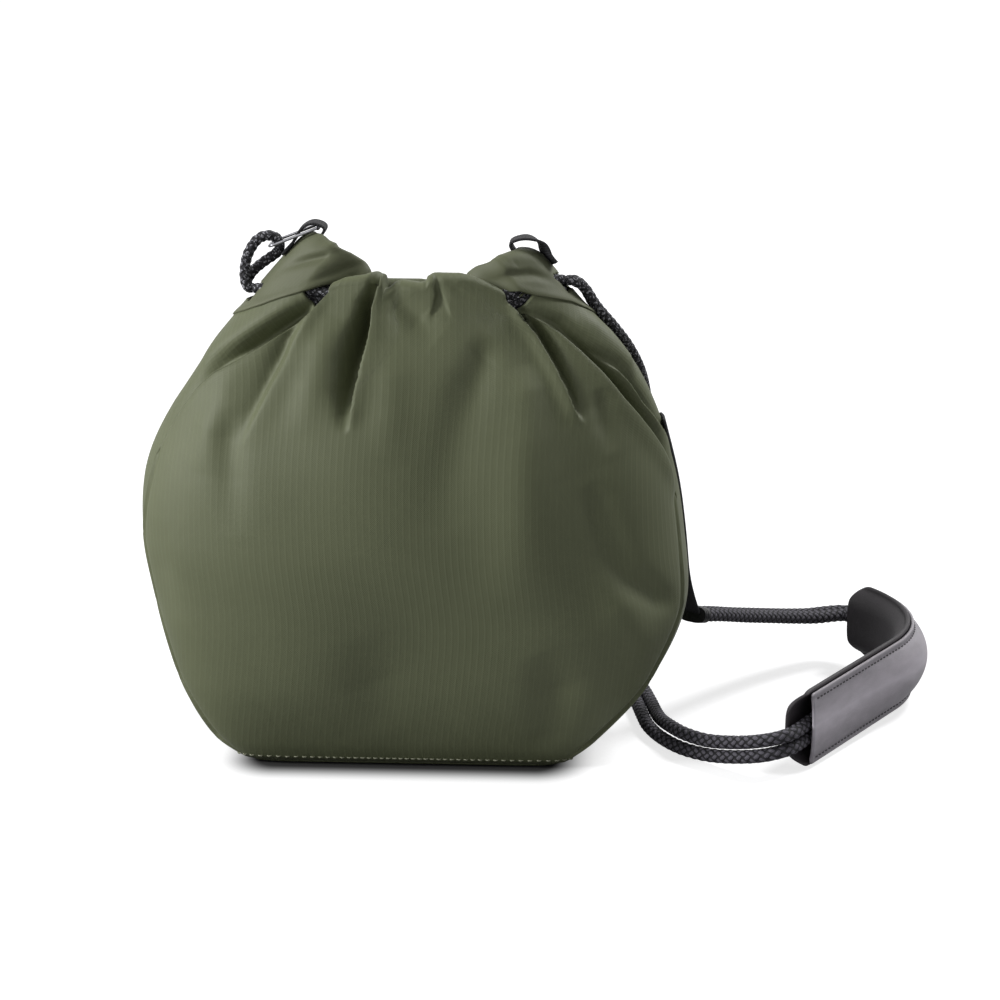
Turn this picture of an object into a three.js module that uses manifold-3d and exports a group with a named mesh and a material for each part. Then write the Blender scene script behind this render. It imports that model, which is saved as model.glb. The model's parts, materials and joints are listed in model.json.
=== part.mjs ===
// A drawstring pouch with a double-cord shoulder strap, built as its separate sewn and corded pieces.
// Millimetres, +Z up. The bag stands on z = 0 about the Z axis, front towards -Y, strap towards +X.
// Angles round the bag are degrees: 0 at the front, 90 at the right, 180 at the back, 270 at the left.

import * as THREE from 'three';
import { mergeVertices } from 'three/addons/utils/BufferGeometryUtils.js';
import Module from 'manifold-3d';

const wasm = await Module();
wasm.setup();

// Clearances
const seamGap = 0.4;          // between two sewn panels
const layerGap = 0.35;        // between two layers of the wall, and under what lies on them

// The bag's outer shape by height: height, half width, half depth, squareness, side seam, shift to +X
const stations = [
  [0, 85, 50, 6, 45, -3.6],
  [12, 98.2, 54, 5, 52, -4.2],
  [40, 120, 61, 3.8, 61, -0.6],
  [75, 133, 65, 3, 68.5, 1.9],
  [110, 135.4, 66, 2.6, 73, -1.5],
  [150, 128.7, 61, 2.4, 68.5, -2.1],
  [190, 110, 48, 2.2, 56, -0.1],
  [225, 82.2, 31, 2.1, 36.5, -1],
  [258, 53.8, 22, 2, 22, -0.3],
];

// Main pleats under the gathered mouth: where each starts and ends as [x, z], its width and depth
const frontPleats = [
  { top: [-17, 243], foot: [-36, 148], width: 8, depth: 7 },
  { top: [-46, 232], foot: [-104, 140], width: 10, depth: 5 },
  { top: [9, 243], foot: [4, 200], width: 6, depth: 3 },
  { top: [47, 233], foot: [96, 150], width: 9, depth: 5 },
];
const backPleats = [
  { top: [-30, 229], foot: [-52, 140], width: 9, depth: 5 },
  { top: [0, 230], foot: [3, 155], width: 8, depth: 5 },
  { top: [31, 229], foot: [58, 145], width: 9, depth: 5 },
];

// Layers of the wall and the base
const shellCloth = 2;         // outer cloth with its hem and interfacing
const foam = 3;               // padding behind the cloth
const foamTop = 150;
const foamFade = 12;          // height over which the padding thins out
const foamEdge = 0.5;         // thickness left at its upper edge
const liningCloth = 1;
const baseCloth = 1.5;
const baseBoard = 2.5;

// The hem casing round the mouth and the two drawcords in it
const mouthHeight = 237;      // hem's top edge at the sides, without the ears
const mouthTilt = 7;          // the front is this much higher, and the back lower
const hemHeight = 16;
const hemDepth = 9.6;
const hemCloth = 1.2;
const frontHemEnds = { left: 30.5, right: 33.5 };  // degrees from the front
const earFronts = { left: 38.5, right: 45 };       // and where the ears' casings start
const backHemEnd = 36;        // degrees from the back
const earBack = 44;
const earReach = 55;          // degrees either side of its tip over which an ear rises
const leftEar = 21;           // how far each gusset's casing stands up
const rightEar = 14;
const drawcord = 5;
const upperDrop = 6.2;        // upper drawcord's centre below the hem's top edge
const drawcordPitch = 5.6;
const earLift = 4;            // how far the drawcords climb inside the ears
const exitHeight = 8.4;       // slot in an ear where a drawcord comes out
const exitWidth = 22;
const exitDepth = 15;

// Webbing, the metal ring on the left ear and the sewn loop on the right one
const webbing = 1.4;
const tabWidth = 12;
const tabLeg = 9;             // length of loop sewn down on the ear
const tabStandOff = 5.3;       // inner leg's distance from the curved ear
const rightLoop = 8;          // height of the empty loop above the ear
const ringStock = 1.8;
const ringLength = 25.6;      // between the centres of its two bars
const ringInside = 13;
const ringDroop = 21.4;       // degrees below level at rest
const ringLift = 2.5;         // its hinge bar above the ear's tip
const ringPlay = 0.8;
const sideWidth = 16;

// The strap: two cords, a ferrule at each end, and a shoulder pad that stands on its long edge
const strapCord = 6.6;
const strapPitch = 7.4;
const ferruleLength = 9;
const ferruleWall = 1.2;
const padHeight = 40;
const padStraight = 90;
const padRadius = 70;
const padTurn = 80;           // degrees
const padHeading = 58;        // degrees from +X at the near end
const padStart = [194.4, -42.2];
const padRise = 6;            // the far end is this much higher
const padBackingEnd = 8;      // backing past the cover at the near end
const padBackingFar = 18;     // and at the far end
const padBacking = 2.5;
const padCorner = 11;
const padDish = 7;            // how far the backing is pushed in by the cords
const padCover = 1.8;
const padMargin = 1.5;        // cover's edge inside the backing's
const coverBulgeNear = 1;
const coverBulgeFar = 7.6;

// Routes of the cords. The strap's list gives the pair's middle and its lean: 0 side by side, 90 stacked.
const strapRoute = [
  [143.2, 34.5, 54.4, 0], [150.5, 46, 51, 0], [164, 67, 44, 0], [180, 89, 37, 0],
  [195, 106.5, 31.5, 0], [206, 117, 28.6, 0], [215.5, 125, 27.3, 0], [223, 128.8, 26.7, 0],
  [229.6, 126.1, 26.6, 0], [237.5, 117.2, 26.5, 2], [246.4, 103.6, 26.2, 8], [251.9, 88.2, 25.6, 20],
  [253.5, 70.1, 24.8, 38], [249.5, 50.4, 23.8, 60], [240.1, 33, 22.6, 78], [227.6, 14.9, 21.3, 90],
  [215.9, -3.8, 20, 90], [204.3, -22.4, 18.6, 90], [195.9, -36.1, 17.6, 90], [190.8, -44.6, 17, 90],
  [186.6, -50.7, 16.6, 90], [180.5, -54.8, 15.8, 90], [172, -54.6, 13.8, 90], [160, -48.5, 10.6, 90],
  [146, -39, 7.9, 88], [134.5, -28.5, 7.3, 75], [125.5, -13, 6.6, 52], [120, 4, 5.3, 25],
  [117, 22, 4.1, 5], [114, 42, 3.7, 0], [109, 66, 3.7, 0], [99, 92, 3.7, 0],
  [80, 117, 3.7, 0], [52, 136, 3.7, 0], [18, 146, 3.7, 0], [-20, 147, 3.7, 0],
  [-56, 139, 3.7, 0], [-86, 121, 4.2, 8], [-105, 99, 6.6, 40], [-115, 77, 11.8, 75],
  [-120.5, 60, 23, 90], [-123, 51.5, 37, 90], [-124, 46.5, 50, 90],
];
const leftPullRoute = [
  [-80.4, -2.7, 229.9], [-82.7, -2.7, 230.4], [-84.1, -2.8, 233.6], [-84.2, -2.9, 238.6],
  [-83.2, -2.8, 244.6], [-80.8, -2.5, 250], [-77.3, -1.9, 254.2], [-73, -1.2, 255.8],
  [-69.2, -0.4, 254.8], [-67.3, 0.4, 251.8], [-67.6, 1.2, 248.8], [-69.4, 2, 246.4],
  [-72.4, 2.6, 244.2], [-76.4, 2.9, 241.4], [-80.6, 2.9, 237.8], [-83.6, 2.8, 233.4],
  [-84.1, 2.7, 229.9], [-82.1, 2.7, 228.8],
];
const rightPullFront = [
  [73.8, -2.7, 235.4], [76.4, -2.9, 235.2], [81.8, -0.5, 231.9], [88.3, 3, 221.7],
  [97.2, 7.4, 210.3], [104.5, 12.6, 199.4], [110.4, 19.1, 186.1], [113.4, 26.5, 171.9],
  [115.2, 32.8, 157.2], [117, 38.7, 143], [118.3, 43.2, 131.4],
];
const rightPullBack = [
  [75.5, 2.7, 234.4], [78.1, 3.1, 234.1], [81.7, 5.6, 230.6], [87.4, 9.3, 220.1],
  [94.6, 13.5, 209.7], [101.6, 19.1, 197.8], [106.5, 25.3, 184.6], [109.1, 31.6, 170.4],
  [110.7, 37.8, 155.7], [112.6, 43.4, 142.5], [114.7, 48, 131.4],
];
const knotCentre = [117.5, 47.4, 121.6];
const knotRadius = 7;
const rightSideRoute = [[137.9, 12.5, 88], [138, 16, 76], [138.1, 20.3, 66.5], [138, 25.2, 58.2]];
const leftSideRoute = [[-133, 30.5, 84], [-128.8, 39, 70], [-125.4, 42.7, 60.9]];

const radians = (degrees) => THREE.MathUtils.degToRad(degrees);
const lerp = (from, to, t) => from + (to - from) * t;

// The bag's shape

function slopeAt(k, column) {
  const before = stations[Math.max(k - 1, 0)];
  const after = stations[Math.min(k + 1, stations.length - 1)];
  return (after[column] - before[column]) / (after[0] - before[0]);
}

function stationValue(z, column) {
  let k = 0;
  while (k < stations.length - 2 && z > stations[k + 1][0]) k += 1;
  const span = stations[k + 1][0] - stations[k][0];
  const t = (z - stations[k][0]) / span;
  const rise = stations[k + 1][column] - stations[k][column];
  const pullStart = slopeAt(k, column) * span - rise;
  const pullEnd = rise - slopeAt(k + 1, column) * span;
  return stations[k][column] + rise * t + t * (1 - t) * (pullStart * (1 - t) + pullEnd * t);
}

function leanOf(z, column) {
  return Math.hypot(1, stationValue(z + 1, column) - stationValue(z, column));
}

function pleatDepth(pleats, x, z) {
  let sum = 0;
  for (const { top, foot, width, depth } of pleats) {
    const t = THREE.MathUtils.clamp((top[1] - z) / (top[1] - foot[1]), 0, 1);
    const offset = (x - lerp(top[0], foot[0], t)) / width;
    sum += depth * (1 - t) * Math.min(1, 0.4 + 3 * t) * Math.exp(-offset * offset);
  }
  return sum;
}

// A point of the wall at an angle and height, a depth inside the outer face
function wallPoint(angle, z, depth) {
  const across = Math.sin(radians(angle));
  const along = -Math.cos(radians(angle));
  const square = stationValue(z, 3);
  const reach = (Math.abs(across) ** square + Math.abs(along) ** square) ** (-1 / square);
  const halfWidth = stationValue(z, 1) - depth * leanOf(z, 1);
  const halfDepth = stationValue(z, 2) - depth * leanOf(z, 2);
  const shift = stationValue(z, 5);
  const outerX = shift + stationValue(z, 1) * reach * across;
  const pleat = along < 0 ? pleatDepth(frontPleats, outerX, z) : -pleatDepth(backPleats, outerX, z);
  const y = halfDepth * reach * along + pleat * Math.min(1, 2.5 * Math.abs(along));
  return new THREE.Vector3(shift + halfWidth * reach * across, y, z);
}

function degreesFor(length, angle, z) {
  return length / wallPoint(angle - 0.5, z, 0).distanceTo(wallPoint(angle + 0.5, z, 0));
}

const mouthLine = (angle) => mouthHeight + mouthTilt * Math.cos(radians(angle));
const hemBottom = (angle) => mouthLine(angle) - hemHeight;

const sectors = {
  front: (z) => [-stationValue(z, 4), stationValue(z, 4)],
  right: (z) => [stationValue(z, 4), 180 - stationValue(z, 4)],
  back: (z) => [180 - stationValue(z, 4), 180 + stationValue(z, 4)],
  left: (z) => [180 + stationValue(z, 4), 360 - stationValue(z, 4)],
};

// Closed skins from grids of points

class Skin {
  corners = [];

  quad(a, b, c, d) {
    this.corners.push(a, b, c, a, c, d);
  }

  // Rows and columns of points; columns run to the right and rows upwards as seen from outside
  grid(rows, closed = false) {
    for (let r = 0; r < rows.length - 1; r += 1) {
      const count = rows[r].length;
      for (let c = 0; c < (closed ? count : count - 1); c += 1) {
        const next = (c + 1) % count;
        this.quad(rows[r][c], rows[r][next], rows[r + 1][next], rows[r + 1][c]);
      }
    }
  }

  // The same rows and columns seen from behind, cut along the same diagonals
  backGrid(rows, closed = false) {
    for (let r = 0; r < rows.length - 1; r += 1) {
      const count = rows[r].length;
      for (let c = 0; c < (closed ? count : count - 1); c += 1) {
        const next = (c + 1) % count;
        this.quad(rows[r][c], rows[r + 1][c], rows[r + 1][next], rows[r][next]);
      }
    }
  }

  fan(centre, ring) {
    for (let c = 0; c < ring.length; c += 1) {
      this.corners.push(centre, ring[c], ring[(c + 1) % ring.length]);
    }
  }

  geometry() {
    return mergeVertices(new THREE.BufferGeometry().setFromPoints(this.corners), 1e-4);
  }
}

const reversed = (list) => [...list].reverse();
const column = (rows, c) => rows.map((row) => row[c]);

// A sheet with thickness between an outer and an inner grid; closed where it goes all the way round
function sheetSolid(outer, inner, closed = false) {
  const skin = new Skin();
  const last = outer.length - 1;
  skin.grid(outer, closed);
  skin.backGrid(inner, closed);
  skin.grid([inner[0], outer[0]], closed);
  skin.grid([outer[last], inner[last]], closed);
  if (!closed) {
    const end = outer[0].length - 1;
    skin.grid([reversed(column(outer, 0)), reversed(column(inner, 0))].map(reversed));
    skin.grid([reversed(column(outer, end)), reversed(column(inner, end))]);
  }
  return skin.geometry();
}

// A tube with a bore, from sections along it that each go once round
function sleeveSolid(outer, bore) {
  const skin = new Skin();
  const last = outer.length - 1;
  skin.grid(outer.map(reversed), true);
  skin.grid(bore, true);
  skin.grid([bore[0], outer[0]].map(reversed), true);
  skin.grid([outer[last], bore[last]].map(reversed), true);
  return skin.geometry();
}

// A solid bar through square sections of four corners each
function barSolid(sections) {
  const skin = new Skin();
  const last = sections.length - 1;
  skin.grid(sections, true);
  const [a, b, c, d] = sections[0];
  skin.quad(d, c, b, a);
  const [e, f, g, h] = sections[last];
  skin.quad(e, f, g, h);
  return skin.geometry();
}

// A flat strip along a line of points; across gives its width's direction at each of them
function stripSolid(points, across, width, thickness) {
  const sections = points.map((point, k) => {
    const ahead = points[Math.min(k + 1, points.length - 1)];
    const behind = points[Math.max(k - 1, 0)];
    const heading = ahead.clone().sub(behind).normalize();
    const side = across[k].clone().addScaledVector(heading, -across[k].dot(heading)).normalize();
    const face = heading.clone().cross(side);
    return [[-1, -1], [1, -1], [1, 1], [-1, 1]].map(([s, f]) =>
      point.clone().addScaledVector(side, (s * width) / 2).addScaledVector(face, (f * thickness) / 2));
  });
  return barSolid(sections);
}

function tubeSolid(points, diameter, steps, sides = 8) {
  const outline = new THREE.Shape();
  for (let k = 0; k < sides; k += 1) {
    const turn = (2 * Math.PI * k) / sides;
    const corner = [(diameter / 2) * Math.cos(turn), (diameter / 2) * Math.sin(turn)];
    if (k === 0) outline.moveTo(...corner);
    else outline.lineTo(...corner);
  }
  const extrudePath = new THREE.CatmullRomCurve3(points);
  return new THREE.ExtrudeGeometry(outline, { steps, extrudePath });
}

function toManifold(geometry) {
  const bare = geometry.clone();
  bare.deleteAttribute('normal');
  bare.deleteAttribute('uv');
  const merged = mergeVertices(bare, 1e-4);
  return new wasm.Manifold(new wasm.Mesh({
    numProp: 3,
    vertProperties: new Float32Array(merged.attributes.position.array),
    triVerts: new Uint32Array(merged.index.array),
  }));
}

function cutAway(body, tool) {
  const mesh = toManifold(body).subtract(toManifold(tool)).getMesh();
  const geometry = new THREE.BufferGeometry();
  geometry.setAttribute('position', new THREE.BufferAttribute(mesh.vertProperties, 3));
  geometry.setIndex(new THREE.BufferAttribute(mesh.triVerts, 1));
  return geometry;
}

const vectors = (list) => list.map(([x, y, z]) => new THREE.Vector3(x, y, z));

// The whole pouch

const pouch = new THREE.Group();

function addPiece(name, geometry, color, roughness, metalness = 0) {
  const piece = new THREE.Mesh(geometry, new THREE.MeshStandardMaterial({ color, roughness, metalness }));
  piece.name = name;
  pouch.add(piece);
  return piece;
}

const olive = 0x62644e;
const black = 0x1b1b1d;
const cordGrey = 0x3a393f;

// Walls: four panels, sewn to each other along the seams and to the base

const wallFoot = baseCloth + layerGap;
const wallRows = 12;
const columnsOf = { front: 20, right: 6, back: 16, left: 6 };

// Every layer of the wall uses these rows and columns, so that none crosses the next
function wallHeight(side, t, row) {
  const [start, end] = sectors[side](mouthHeight - hemHeight);
  return lerp(wallFoot, hemBottom(lerp(start, end, t)) - layerGap, row / wallRows);
}

function panelGrid(side, depth) {
  const grid = [];
  for (let row = 0; row <= wallRows; row += 1) {
    const points = [];
    for (let c = 0; c <= columnsOf[side]; c += 1) {
      const t = c / columnsOf[side];
      const z = wallHeight(side, t, row);
      const [start, end] = sectors[side](z);
      const first = start + degreesFor(seamGap / 2, start, z);
      const last = end - degreesFor(seamGap / 2, end, z);
      points.push(wallPoint(lerp(first, last, t), z, depth));
    }
    grid.push(points);
  }
  return grid;
}

function addPanel(name, side) {
  addPiece(name, sheetSolid(panelGrid(side, 0), panelGrid(side, shellCloth)), olive, 0.75);
}

addPanel('front_panel', 'front');
addPanel('back_panel', 'back');
addPanel('right_gusset', 'right');
addPanel('left_gusset', 'left');

// Padding and lining go all the way round

function roundRow(heightOf, depthOf) {
  const ring = [];
  for (const [side, count] of Object.entries(columnsOf)) {
    for (let c = 0; c < count; c += 1) {
      const z = heightOf(side, c / count);
      const [start, end] = sectors[side](z);
      ring.push(wallPoint(lerp(start, end, c / count), z, depthOf(z)));
    }
  }
  return ring;
}

const paddingRows = 8;
const paddingDepth = (z) => {
  const thin = THREE.MathUtils.smoothstep(z, foamTop - foamFade, foamTop + foamFade);
  return shellCloth + layerGap + foam * (1 - thin);
};
const liningDepth = (z) => paddingDepth(z) + layerGap;

function addPadding() {
  const outer = [];
  const inner = [];
  for (let row = 0; row <= paddingRows; row += 1) {
    const height = (side, t) => wallHeight(side, t, row);
    outer.push(roundRow(height, () => shellCloth + layerGap));
    inner.push(roundRow(height, (z) => Math.max(paddingDepth(z), shellCloth + layerGap + foamEdge)));
  }
  addPiece('wall_padding', sheetSolid(outer, inner, true), 0x2c2c2c, 0.95);
}

const boardFoot = baseCloth + layerGap;
const liningFoot = boardFoot + baseBoard + layerGap;

function addLining() {
  const rows = [];
  for (let row = 0; row <= wallRows; row += 1) rows.push(row);
  const liningRow = (row, extra) => roundRow(
    (side, t) => (row === 0 ? liningFoot + extra : wallHeight(side, t, row)),
    (z) => liningDepth(z) + foamEdge + extra,
  );
  const outer = rows.map((row) => liningRow(row, 0));
  const inner = rows.map((row) => liningRow(row, liningCloth));
  const skin = new Skin();
  const shift = stationValue(liningFoot, 5);
  skin.grid([...outer, inner[wallRows]], true);
  skin.backGrid(inner, true);
  skin.fan(new THREE.Vector3(shift, 0, liningFoot), reversed(outer[0]));
  skin.fan(new THREE.Vector3(shift, 0, liningFoot + liningCloth), inner[0]);
  addPiece('lining', skin.geometry(), 0x4a4b40, 0.8);
}

function baseSheet(foot, depth, thickness) {
  const ring = roundRow(() => foot, () => depth);
  const outline = new THREE.Shape(ring.map((point) => new THREE.Vector2(point.x, point.y)));
  const geometry = new THREE.ExtrudeGeometry(outline, { depth: thickness, bevelEnabled: false });
  return geometry.translate(0, 0, foot);
}

addPadding();
addLining();
addPiece('base_panel', baseSheet(0, 0, baseCloth), olive, 0.8);
addPiece('base_board', baseSheet(boardFoot, liningDepth(boardFoot) + foamEdge, baseBoard), 0x141414, 0.6);

// Hem casings: one sleeve of cloth over each panel, with the drawcords inside

function earRise(angle, rise) {
  const fromTip = Math.abs((angle > 180 ? 270 : 90) - angle);
  const t = THREE.MathUtils.clamp(1 - fromTip / earReach, 0, 1);
  return rise * Math.sin((Math.PI / 2) * t) ** 0.75;
}

function hemSection(angle, rise, inset) {
  const foot = hemBottom(angle) + inset;
  const crown = mouthLine(angle) + earRise(angle, rise) - hemDepth / 2;
  const half = hemDepth / 2 - inset;
  const section = [];
  for (const t of [0, 0.5]) section.push(wallPoint(angle, lerp(foot, crown, t), inset));
  for (let k = 0; k <= 4; k += 1) {
    const turn = (Math.PI * k) / 4;
    const z = crown + half * Math.sin(turn);
    section.push(wallPoint(angle, z, hemDepth / 2 - half * Math.cos(turn)));
  }
  for (const t of [0.5, 0]) section.push(wallPoint(angle, lerp(foot, crown, t), hemDepth - inset));
  return section;
}

function casingSolid(start, end, rise, columns) {
  const outer = [];
  const bore = [];
  for (let c = 0; c <= columns; c += 1) {
    const angle = lerp(start, end, c / columns);
    outer.push(hemSection(angle, rise, 0));
    bore.push(hemSection(angle, rise, hemCloth));
  }
  return sleeveSolid(outer, bore);
}

const cordHeight = (angle, drop) => mouthLine(angle) - drop + earLift * Math.sin(radians(angle)) ** 2;
const lowerDrop = upperDrop + drawcordPitch;

// The level slot where a drawcord leaves an ear
function exitTool(angle, drop) {
  const mouth = wallPoint(angle, cordHeight(angle, drop), 0);
  const inward = -Math.sign(mouth.x) * exitDepth * 0.1;
  return new THREE.BoxGeometry(exitDepth, exitWidth, exitHeight).translate(mouth.x + inward, mouth.y, mouth.z);
}

addPiece('front_hem_casing', casingSolid(-frontHemEnds.left, frontHemEnds.right, 0, 18), olive, 0.75);
addPiece('back_hem_casing', casingSolid(180 - backHemEnd, 180 + backHemEnd, 0, 16), olive, 0.75);
addPiece('right_ear_casing',
  cutAway(casingSolid(earFronts.right, 180 - earBack, rightEar, 14), exitTool(90, upperDrop)), olive, 0.75);
addPiece('left_ear_casing',
  cutAway(casingSolid(180 + earBack, 360 - earFronts.left, leftEar, 14), exitTool(270, lowerDrop)), olive, 0.75);

// Two drawcords, each going once round in the casings and coming out of one ear

function drawcordPoints(exit, drop) {
  const middle = hemDepth / 2;
  const points = [];
  const ends = [[6.2, -0.2], [13, 2.2], [21, middle]];
  for (const [offset, depth] of ends) {
    points.push(wallPoint(exit + offset, cordHeight(exit + offset, drop), depth));
  }
  const turns = 44;
  for (let k = 1; k < turns; k += 1) {
    const angle = lerp(exit + 21, exit + 339, k / turns);
    points.push(wallPoint(angle, cordHeight(angle, drop), middle));
  }
  for (const [offset, depth] of reversed(ends)) {
    points.push(wallPoint(exit - offset, cordHeight(exit - offset, drop), depth));
  }
  return points;
}

addPiece('left_drawcord', tubeSolid(drawcordPoints(270, lowerDrop), drawcord, 54), cordGrey, 0.85);
addPiece('right_drawcord', tubeSolid(drawcordPoints(90, upperDrop), drawcord, 54), cordGrey, 0.85);
addPiece('left_pull', tubeSolid(vectors(leftPullRoute), drawcord, 30), cordGrey, 0.85);
addPiece('right_pull_front', tubeSolid(vectors(rightPullFront), drawcord, 16), cordGrey, 0.85);
addPiece('right_pull_back', tubeSolid(vectors(rightPullBack), drawcord, 16), cordGrey, 0.85);

const knot = new THREE.SphereGeometry(knotRadius, 14, 10).scale(1, 1, 1.25).translate(...knotCentre);
addPiece('right_pull_knot', knot, cordGrey, 0.85);

// Webbing loops over the tips of the ears

function loopPoints(angle, rise, height) {
  const tip = mouthLine(angle) + rise;
  const outside = -(layerGap + webbing / 2);
  const inside = hemDepth + tabStandOff;
  const leg = tabLeg * Math.SQRT1_2;
  const crest = wallPoint(angle, tip, hemDepth / 2);
  crest.z = tip + height;
  const outerShoulder = wallPoint(angle, tip, outside);
  outerShoulder.z += height * 0.45;
  const innerShoulder = wallPoint(angle, tip, inside);
  innerShoulder.z += height * 0.45;
  return new THREE.CatmullRomCurve3([
    wallPoint(angle, tip - leg, outside),
    wallPoint(angle, tip - leg / 2, outside),
    outerShoulder,
    crest,
    innerShoulder,
    wallPoint(angle, tip - leg / 2, inside),
    wallPoint(angle, tip - leg, inside),
  ]).getSpacedPoints(16);
}

function addLoop(name, angle, rise, height) {
  const points = loopPoints(angle, rise, height);
  const across = points.map(() => new THREE.Vector3(0, 1, 0));
  addPiece(name, stripSolid(points, across, tabWidth, webbing), black, 0.8);
}

const leftLoop = ringLift + ringStock / 2 + ringPlay + webbing / 2;
addLoop('left_tab', 270, leftEar, leftLoop);
addLoop('right_tab', 90, rightEar, rightLoop);

// The metal ring hinges on the left tab and hangs down to the left

function roundedOutline(length, width, corner, target) {
  const x = length / 2;
  const y = width / 2;
  target.moveTo(-x + corner, -y);
  target.lineTo(x - corner, -y);
  target.absarc(x - corner, -y + corner, corner, -Math.PI / 2, 0);
  target.lineTo(x, y - corner);
  target.absarc(x - corner, y - corner, corner, 0, Math.PI / 2);
  target.lineTo(-x + corner, y);
  target.absarc(-x + corner, y - corner, corner, Math.PI / 2, Math.PI);
  target.lineTo(-x, -y + corner);
  target.absarc(-x + corner, -y + corner, corner, Math.PI, 1.5 * Math.PI);
  return target;
}

function addRing() {
  const corner = 3;
  const outside = roundedOutline(ringLength + ringStock, ringInside + 2 * ringStock, corner, new THREE.Shape());
  const hole = roundedOutline(ringLength - ringStock, ringInside, corner - ringStock, new THREE.Path());
  outside.holes.push(hole);
  const geometry = new THREE.ExtrudeGeometry(outside, { depth: ringStock, bevelEnabled: false, curveSegments: 4 });
  geometry.translate(-ringLength / 2, 0, -ringStock / 2);
  const tip = mouthLine(270) + leftEar;
  const ring = addPiece('left_ring', geometry, 0x8c8c90, 0.3, 1);
  ring.position.set(wallPoint(270, tip, hemDepth / 2).x, 0, tip + ringLift);
  ring.rotation.y = -radians(ringDroop);
}
addRing();

// Side webbing: sewn down the gusset, then free to the strap's ferrule

const sideLift = layerGap + webbing / 2;
const curveLift = 0.7;        // more where the wall curves away under the webbing
const sideTop = 166;

// Each side webbing's spots as its middle and the direction of its width
const sewnSpot = (angle, z, extra = 0) => ({
  at: wallPoint(angle, z, -sideLift - extra),
  across: wallPoint(angle + 2, z, 0).sub(wallPoint(angle - 2, z, 0)).normalize(),
});
const freeSpots = (route, widths) =>
  route.map((spot, k) => ({ at: new THREE.Vector3(...spot), across: new THREE.Vector3(...widths[k]) }));

function addSide(name, spots, count) {
  const line = new THREE.CatmullRomCurve3(spots.map((spot) => spot.at));
  const turn = new THREE.CatmullRomCurve3(spots.map((spot) => spot.across));
  const points = [];
  const across = [];
  for (let k = 0; k <= count; k += 1) {
    points.push(line.getPoint(k / count));
    across.push(turn.getPoint(k / count));
  }
  addPiece(name, stripSolid(points, across, sideWidth, webbing), black, 0.8);
}

addSide('right_side_webbing', [
  ...[sideTop, 146, 126, 106].map((z) => sewnSpot(95, z)),
  ...freeSpots(rightSideRoute, [[0, 1, 0], [-0.3, 0.95, 0], [-0.6, 0.8, 0], [-0.83, 0.56, 0]]),
], 18);
addSide('left_side_webbing', [
  sewnSpot(256, sideTop, curveLift), sewnSpot(253.5, 135, curveLift), sewnSpot(250, 106, curveLift),
  ...freeSpots(leftSideRoute, [[-0.25, -0.97, 0], [-0.12, -1, 0], [0, -1, 0]]),
], 16);

// A ferrule clamps both cords into the end of each side webbing

const strapMiddle = vectors(strapRoute);
const strapEnds = {
  right: { at: strapMiddle[0], next: strapMiddle[1], lean: strapRoute[0][3] },
  left: { at: strapMiddle.at(-1), next: strapMiddle.at(-2), lean: strapRoute.at(-1)[3] },
};

// The direction from the pair's middle to its first cord
function pairFrame(heading, lean) {
  const side = heading.clone().cross(new THREE.Vector3(0, 0, 1)).normalize();
  const up = side.clone().cross(heading);
  return side.multiplyScalar(Math.cos(radians(lean))).addScaledVector(up, Math.sin(radians(lean)));
}

function addFerrule(name, end) {
  const heading = end.next.clone().sub(end.at).normalize();
  const across = pairFrame(heading, end.lean);
  const mouth = end.at.clone().addScaledVector(heading, -layerGap);
  const back = mouth.clone().addScaledVector(heading, -ferruleLength);
  const width = strapPitch + strapCord + 2 * ferruleWall;
  const solid = stripSolid([back, mouth], [across, across], width, strapCord + 2 * ferruleWall);
  addPiece(name, solid, black, 0.5);
}
addFerrule('right_ferrule', strapEnds.right);
addFerrule('left_ferrule', strapEnds.left);

// The strap's two cords run side by side from ferrule to ferrule, through the pad

function strapPoints(sign) {
  return strapMiddle.map((point, k) => {
    const before = strapMiddle[Math.max(k - 1, 0)];
    const after = strapMiddle[Math.min(k + 1, strapMiddle.length - 1)];
    const heading = after.clone().sub(before).normalize();
    const offset = pairFrame(heading, strapRoute[k][3]);
    return point.clone().addScaledVector(offset, (sign * strapPitch) / 2);
  });
}
addPiece('strap_cord_a', tubeSolid(strapPoints(1), strapCord, 80), cordGrey, 0.85);
addPiece('strap_cord_b', tubeSolid(strapPoints(-1), strapCord, 80), cordGrey, 0.85);

// The pad: a backing dished round the cords and a leather cover, along one bent line in plan

const padLength = padStraight + padRadius * radians(padTurn);

function padPoint(s, out, height) {
  const start = radians(padHeading);
  const heading = start + THREE.MathUtils.clamp((s - padStraight) / padRadius, 0, radians(padTurn));
  const run = Math.min(s, padStraight);
  const x = run * Math.cos(start) + padRadius * (Math.sin(heading) - Math.sin(start)) + out * Math.sin(heading);
  const y = run * Math.sin(start) - padRadius * (Math.cos(heading) - Math.cos(start)) - out * Math.cos(heading);
  const rise = padRise * THREE.MathUtils.clamp(s / padLength, 0, 1);
  return new THREE.Vector3(padStart[0] + x, padStart[1] + y, height + rise);
}

function padSheet(from, to, corner, low, high, out, columns, rows) {
  const grid = Array.from({ length: rows + 1 }, () => []);
  for (let c = 0; c <= columns; c += 1) {
    const t = c / columns;
    const s = from + (to - from) * (t + (corner > 2 ? -0.06 * Math.sin(2 * Math.PI * t) : 0));
    const toEnd = Math.min(s - from, to - s, corner);
    const cut = corner - Math.sqrt(Math.max(0, corner ** 2 - (corner - toEnd) ** 2));
    for (let r = 0; r <= rows; r += 1) {
      const height = lerp(low + cut, high - cut, r / rows);
      grid[r].push(padPoint(s, out(s, height), height));
    }
  }
  return grid;
}

const padMiddle = padHeight / 2;
const dish = (height) => padDish * (1 - Math.abs((height - padMiddle) / (padMiddle - 2)) ** 4);
const backingOut = (side) => (s, height) => (side * padBacking) / 2 - Math.max(0, dish(height));

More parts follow.
